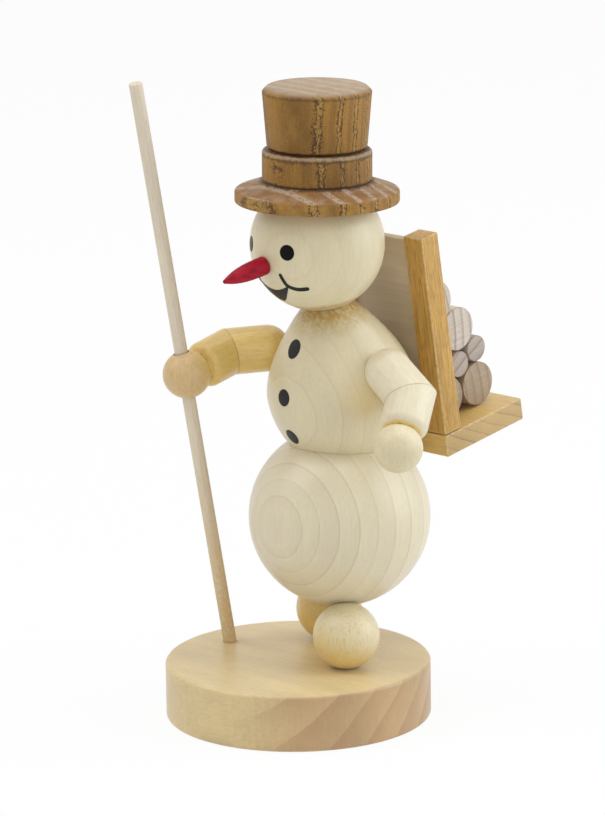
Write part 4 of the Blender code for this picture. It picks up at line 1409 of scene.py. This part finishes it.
class SNOWMAN_OT_stage(SnowmanOperator, bpy.types.Operator):
    """Set the floor, the soft light and the camera"""

    bl_idname = "snowman.stage"
    bl_label = "Stage"

    def build(self):
        self.camera()
        self.floor()
        self.light()
        bpy.context.scene.view_settings.view_transform = "Standard"

    def camera(self):
        stage = self.stage
        right = Vector((math.cos(stage.azimuth), math.sin(stage.azimuth), 0))
        level = math.cos(stage.elevation)
        back = Vector((math.sin(stage.azimuth) * level, -math.cos(stage.azimuth) * level, math.sin(stage.elevation)))
        up = back.cross(right)
        rolled_right = right * math.cos(stage.roll) + up * math.sin(stage.roll)
        rolled_up = up * math.cos(stage.roll) - right * math.sin(stage.roll)
        aim = Vector((0, 0, stage.aim_height)) + right * stage.aim_right
        deselect()
        bpy.ops.object.camera_add()
        camera = bpy.context.object
        camera.name = "camera"
        turn = Matrix((rolled_right, rolled_up, back)).transposed().to_4x4()
        camera.matrix_world = Matrix.Translation(aim + back * stage.distance) @ turn
        camera.data.sensor_width = 36
        camera.data.lens = stage.lens
        camera.data.clip_start = 0.01
        bpy.context.scene.camera = camera

    def floor(self):
        deselect()
        bpy.ops.mesh.primitive_plane_add(size=self.stage.floor_size)
        floor = bpy.context.object
        floor.name = "floor"
        material, tree, shader = new_material("floor_card")
        shader.inputs["Base Color"].default_value = (0.92, 0.92, 0.92, 1)
        shader.inputs["Roughness"].default_value = 0.9
        shader.inputs["Specular IOR Level"].default_value = 0.1
        seen = seen_directly(tree)
        glow = put(tree, "ShaderNodeEmission", {"Strength": 1.0})
        share = calc(tree, "MULTIPLY", seen, self.stage.floor_glow)
        both = put(tree, "ShaderNodeMixShader", {0: share, 1: shader.outputs[0], 2: glow.outputs[0]})
        tree.links.new(both.outputs[0], tree.nodes["Material Output"].inputs["Surface"])
        floor.data.materials.append(material)

    def light(self):
        world = bpy.data.worlds.new("studio")
        bpy.context.scene.world = world
        world.use_nodes = True
        tree = world.node_tree
        background = tree.nodes["Background"]
        background.inputs["Color"].default_value = (1, 1, 1, 1)
        strength = remap(tree, seen_directly(tree), 0.0, 1.0, self.stage.sky, 1.0, "LINEAR")
        tree.links.new(strength, background.inputs["Strength"])
        white = (1, 1, 1)
        cool = (0.88, 0.95, 1)
        lamps = {
            "key": (self.stage.key, (-0.45, -0.6, 1.1), 0.8, white),
            "fill": (self.stage.fill, (0.72, 0.7, 0.5), 0.9, cool),
            "front": (self.stage.front, (0.8, -0.75, 0.55), 0.9, white),
            "top": (self.stage.top, (0.1, 0.15, 1.2), 0.9, white),
        }
        for name, (power, spot, size, tint) in lamps.items():
            deselect()
            bpy.ops.object.light_add(type="AREA", location=spot)
            lamp = bpy.context.object
            lamp.name = name
            lamp.data.energy = power
            lamp.data.size = size
            lamp.data.color = tint
            aim = Vector((0, 0, 0.07)) - Vector(spot)
            lamp.rotation_euler = aim.to_track_quat("-Z", "Y").to_euler()


def seen_directly(tree):
    """1 for rays that show the background: from the camera, in a reflection or through glass."""
    path = put(tree, "ShaderNodeLightPath").outputs
    either = calc(tree, "MAXIMUM", path["Is Camera Ray"], path["Is Glossy Ray"])
    return calc(tree, "MAXIMUM", either, path["Is Transmission Ray"])


class SNOWMAN_PT_sidebar(bpy.types.Panel):
    """Lists the snowman's pieces in the order in which they are made"""

    bl_label = "Wooden Snowman"
    bl_idname = "SNOWMAN_PT_sidebar"
    bl_space_type = "VIEW_3D"
    bl_region_type = "UI"
    bl_category = "Snowman"

    def draw(self, context):
        for operator in OPERATORS:
            self.layout.operator(operator.bl_idname)
        for settings in (context.scene.snowman_sizes, context.scene.snowman_colours, context.scene.snowman_stage):
            box = self.layout.box()
            for key in settings.__annotations__:
                box.prop(settings, key)


GROUPS = (SnowmanSizes, SnowmanColours, SnowmanStage)
OPERATORS = (
    SNOWMAN_OT_grain,
    SNOWMAN_OT_base,
    SNOWMAN_OT_feet,
    SNOWMAN_OT_belly,
    SNOWMAN_OT_torso,
    SNOWMAN_OT_head,
    SNOWMAN_OT_face,
    SNOWMAN_OT_nose,
    SNOWMAN_OT_hat,
    SNOWMAN_OT_arms,
    SNOWMAN_OT_hands,
    SNOWMAN_OT_staff,
    SNOWMAN_OT_carrier,
    SNOWMAN_OT_logs,
    SNOWMAN_OT_dowels,
    SNOWMAN_OT_stage,
)


def register():
    for kind in (*GROUPS, *OPERATORS, SNOWMAN_PT_sidebar):
        bpy.utils.register_class(kind)
    bpy.types.Scene.snowman_sizes = PointerProperty(type=SnowmanSizes)
    bpy.types.Scene.snowman_colours = PointerProperty(type=SnowmanColours)
    bpy.types.Scene.snowman_stage = PointerProperty(type=SnowmanStage)


def unregister():
    del bpy.types.Scene.snowman_stage
    del bpy.types.Scene.snowman_colours
    del bpy.types.Scene.snowman_sizes
    for kind in (SNOWMAN_PT_sidebar, *reversed(OPERATORS), *reversed(GROUPS)):
        bpy.utils.unregister_class(kind)


def main():
    register()
    for operator in OPERATORS:
        getattr(bpy.ops.snowman, operator.bl_idname.split(".")[1])()
    deselect()


if __name__ == "__main__":
    main()
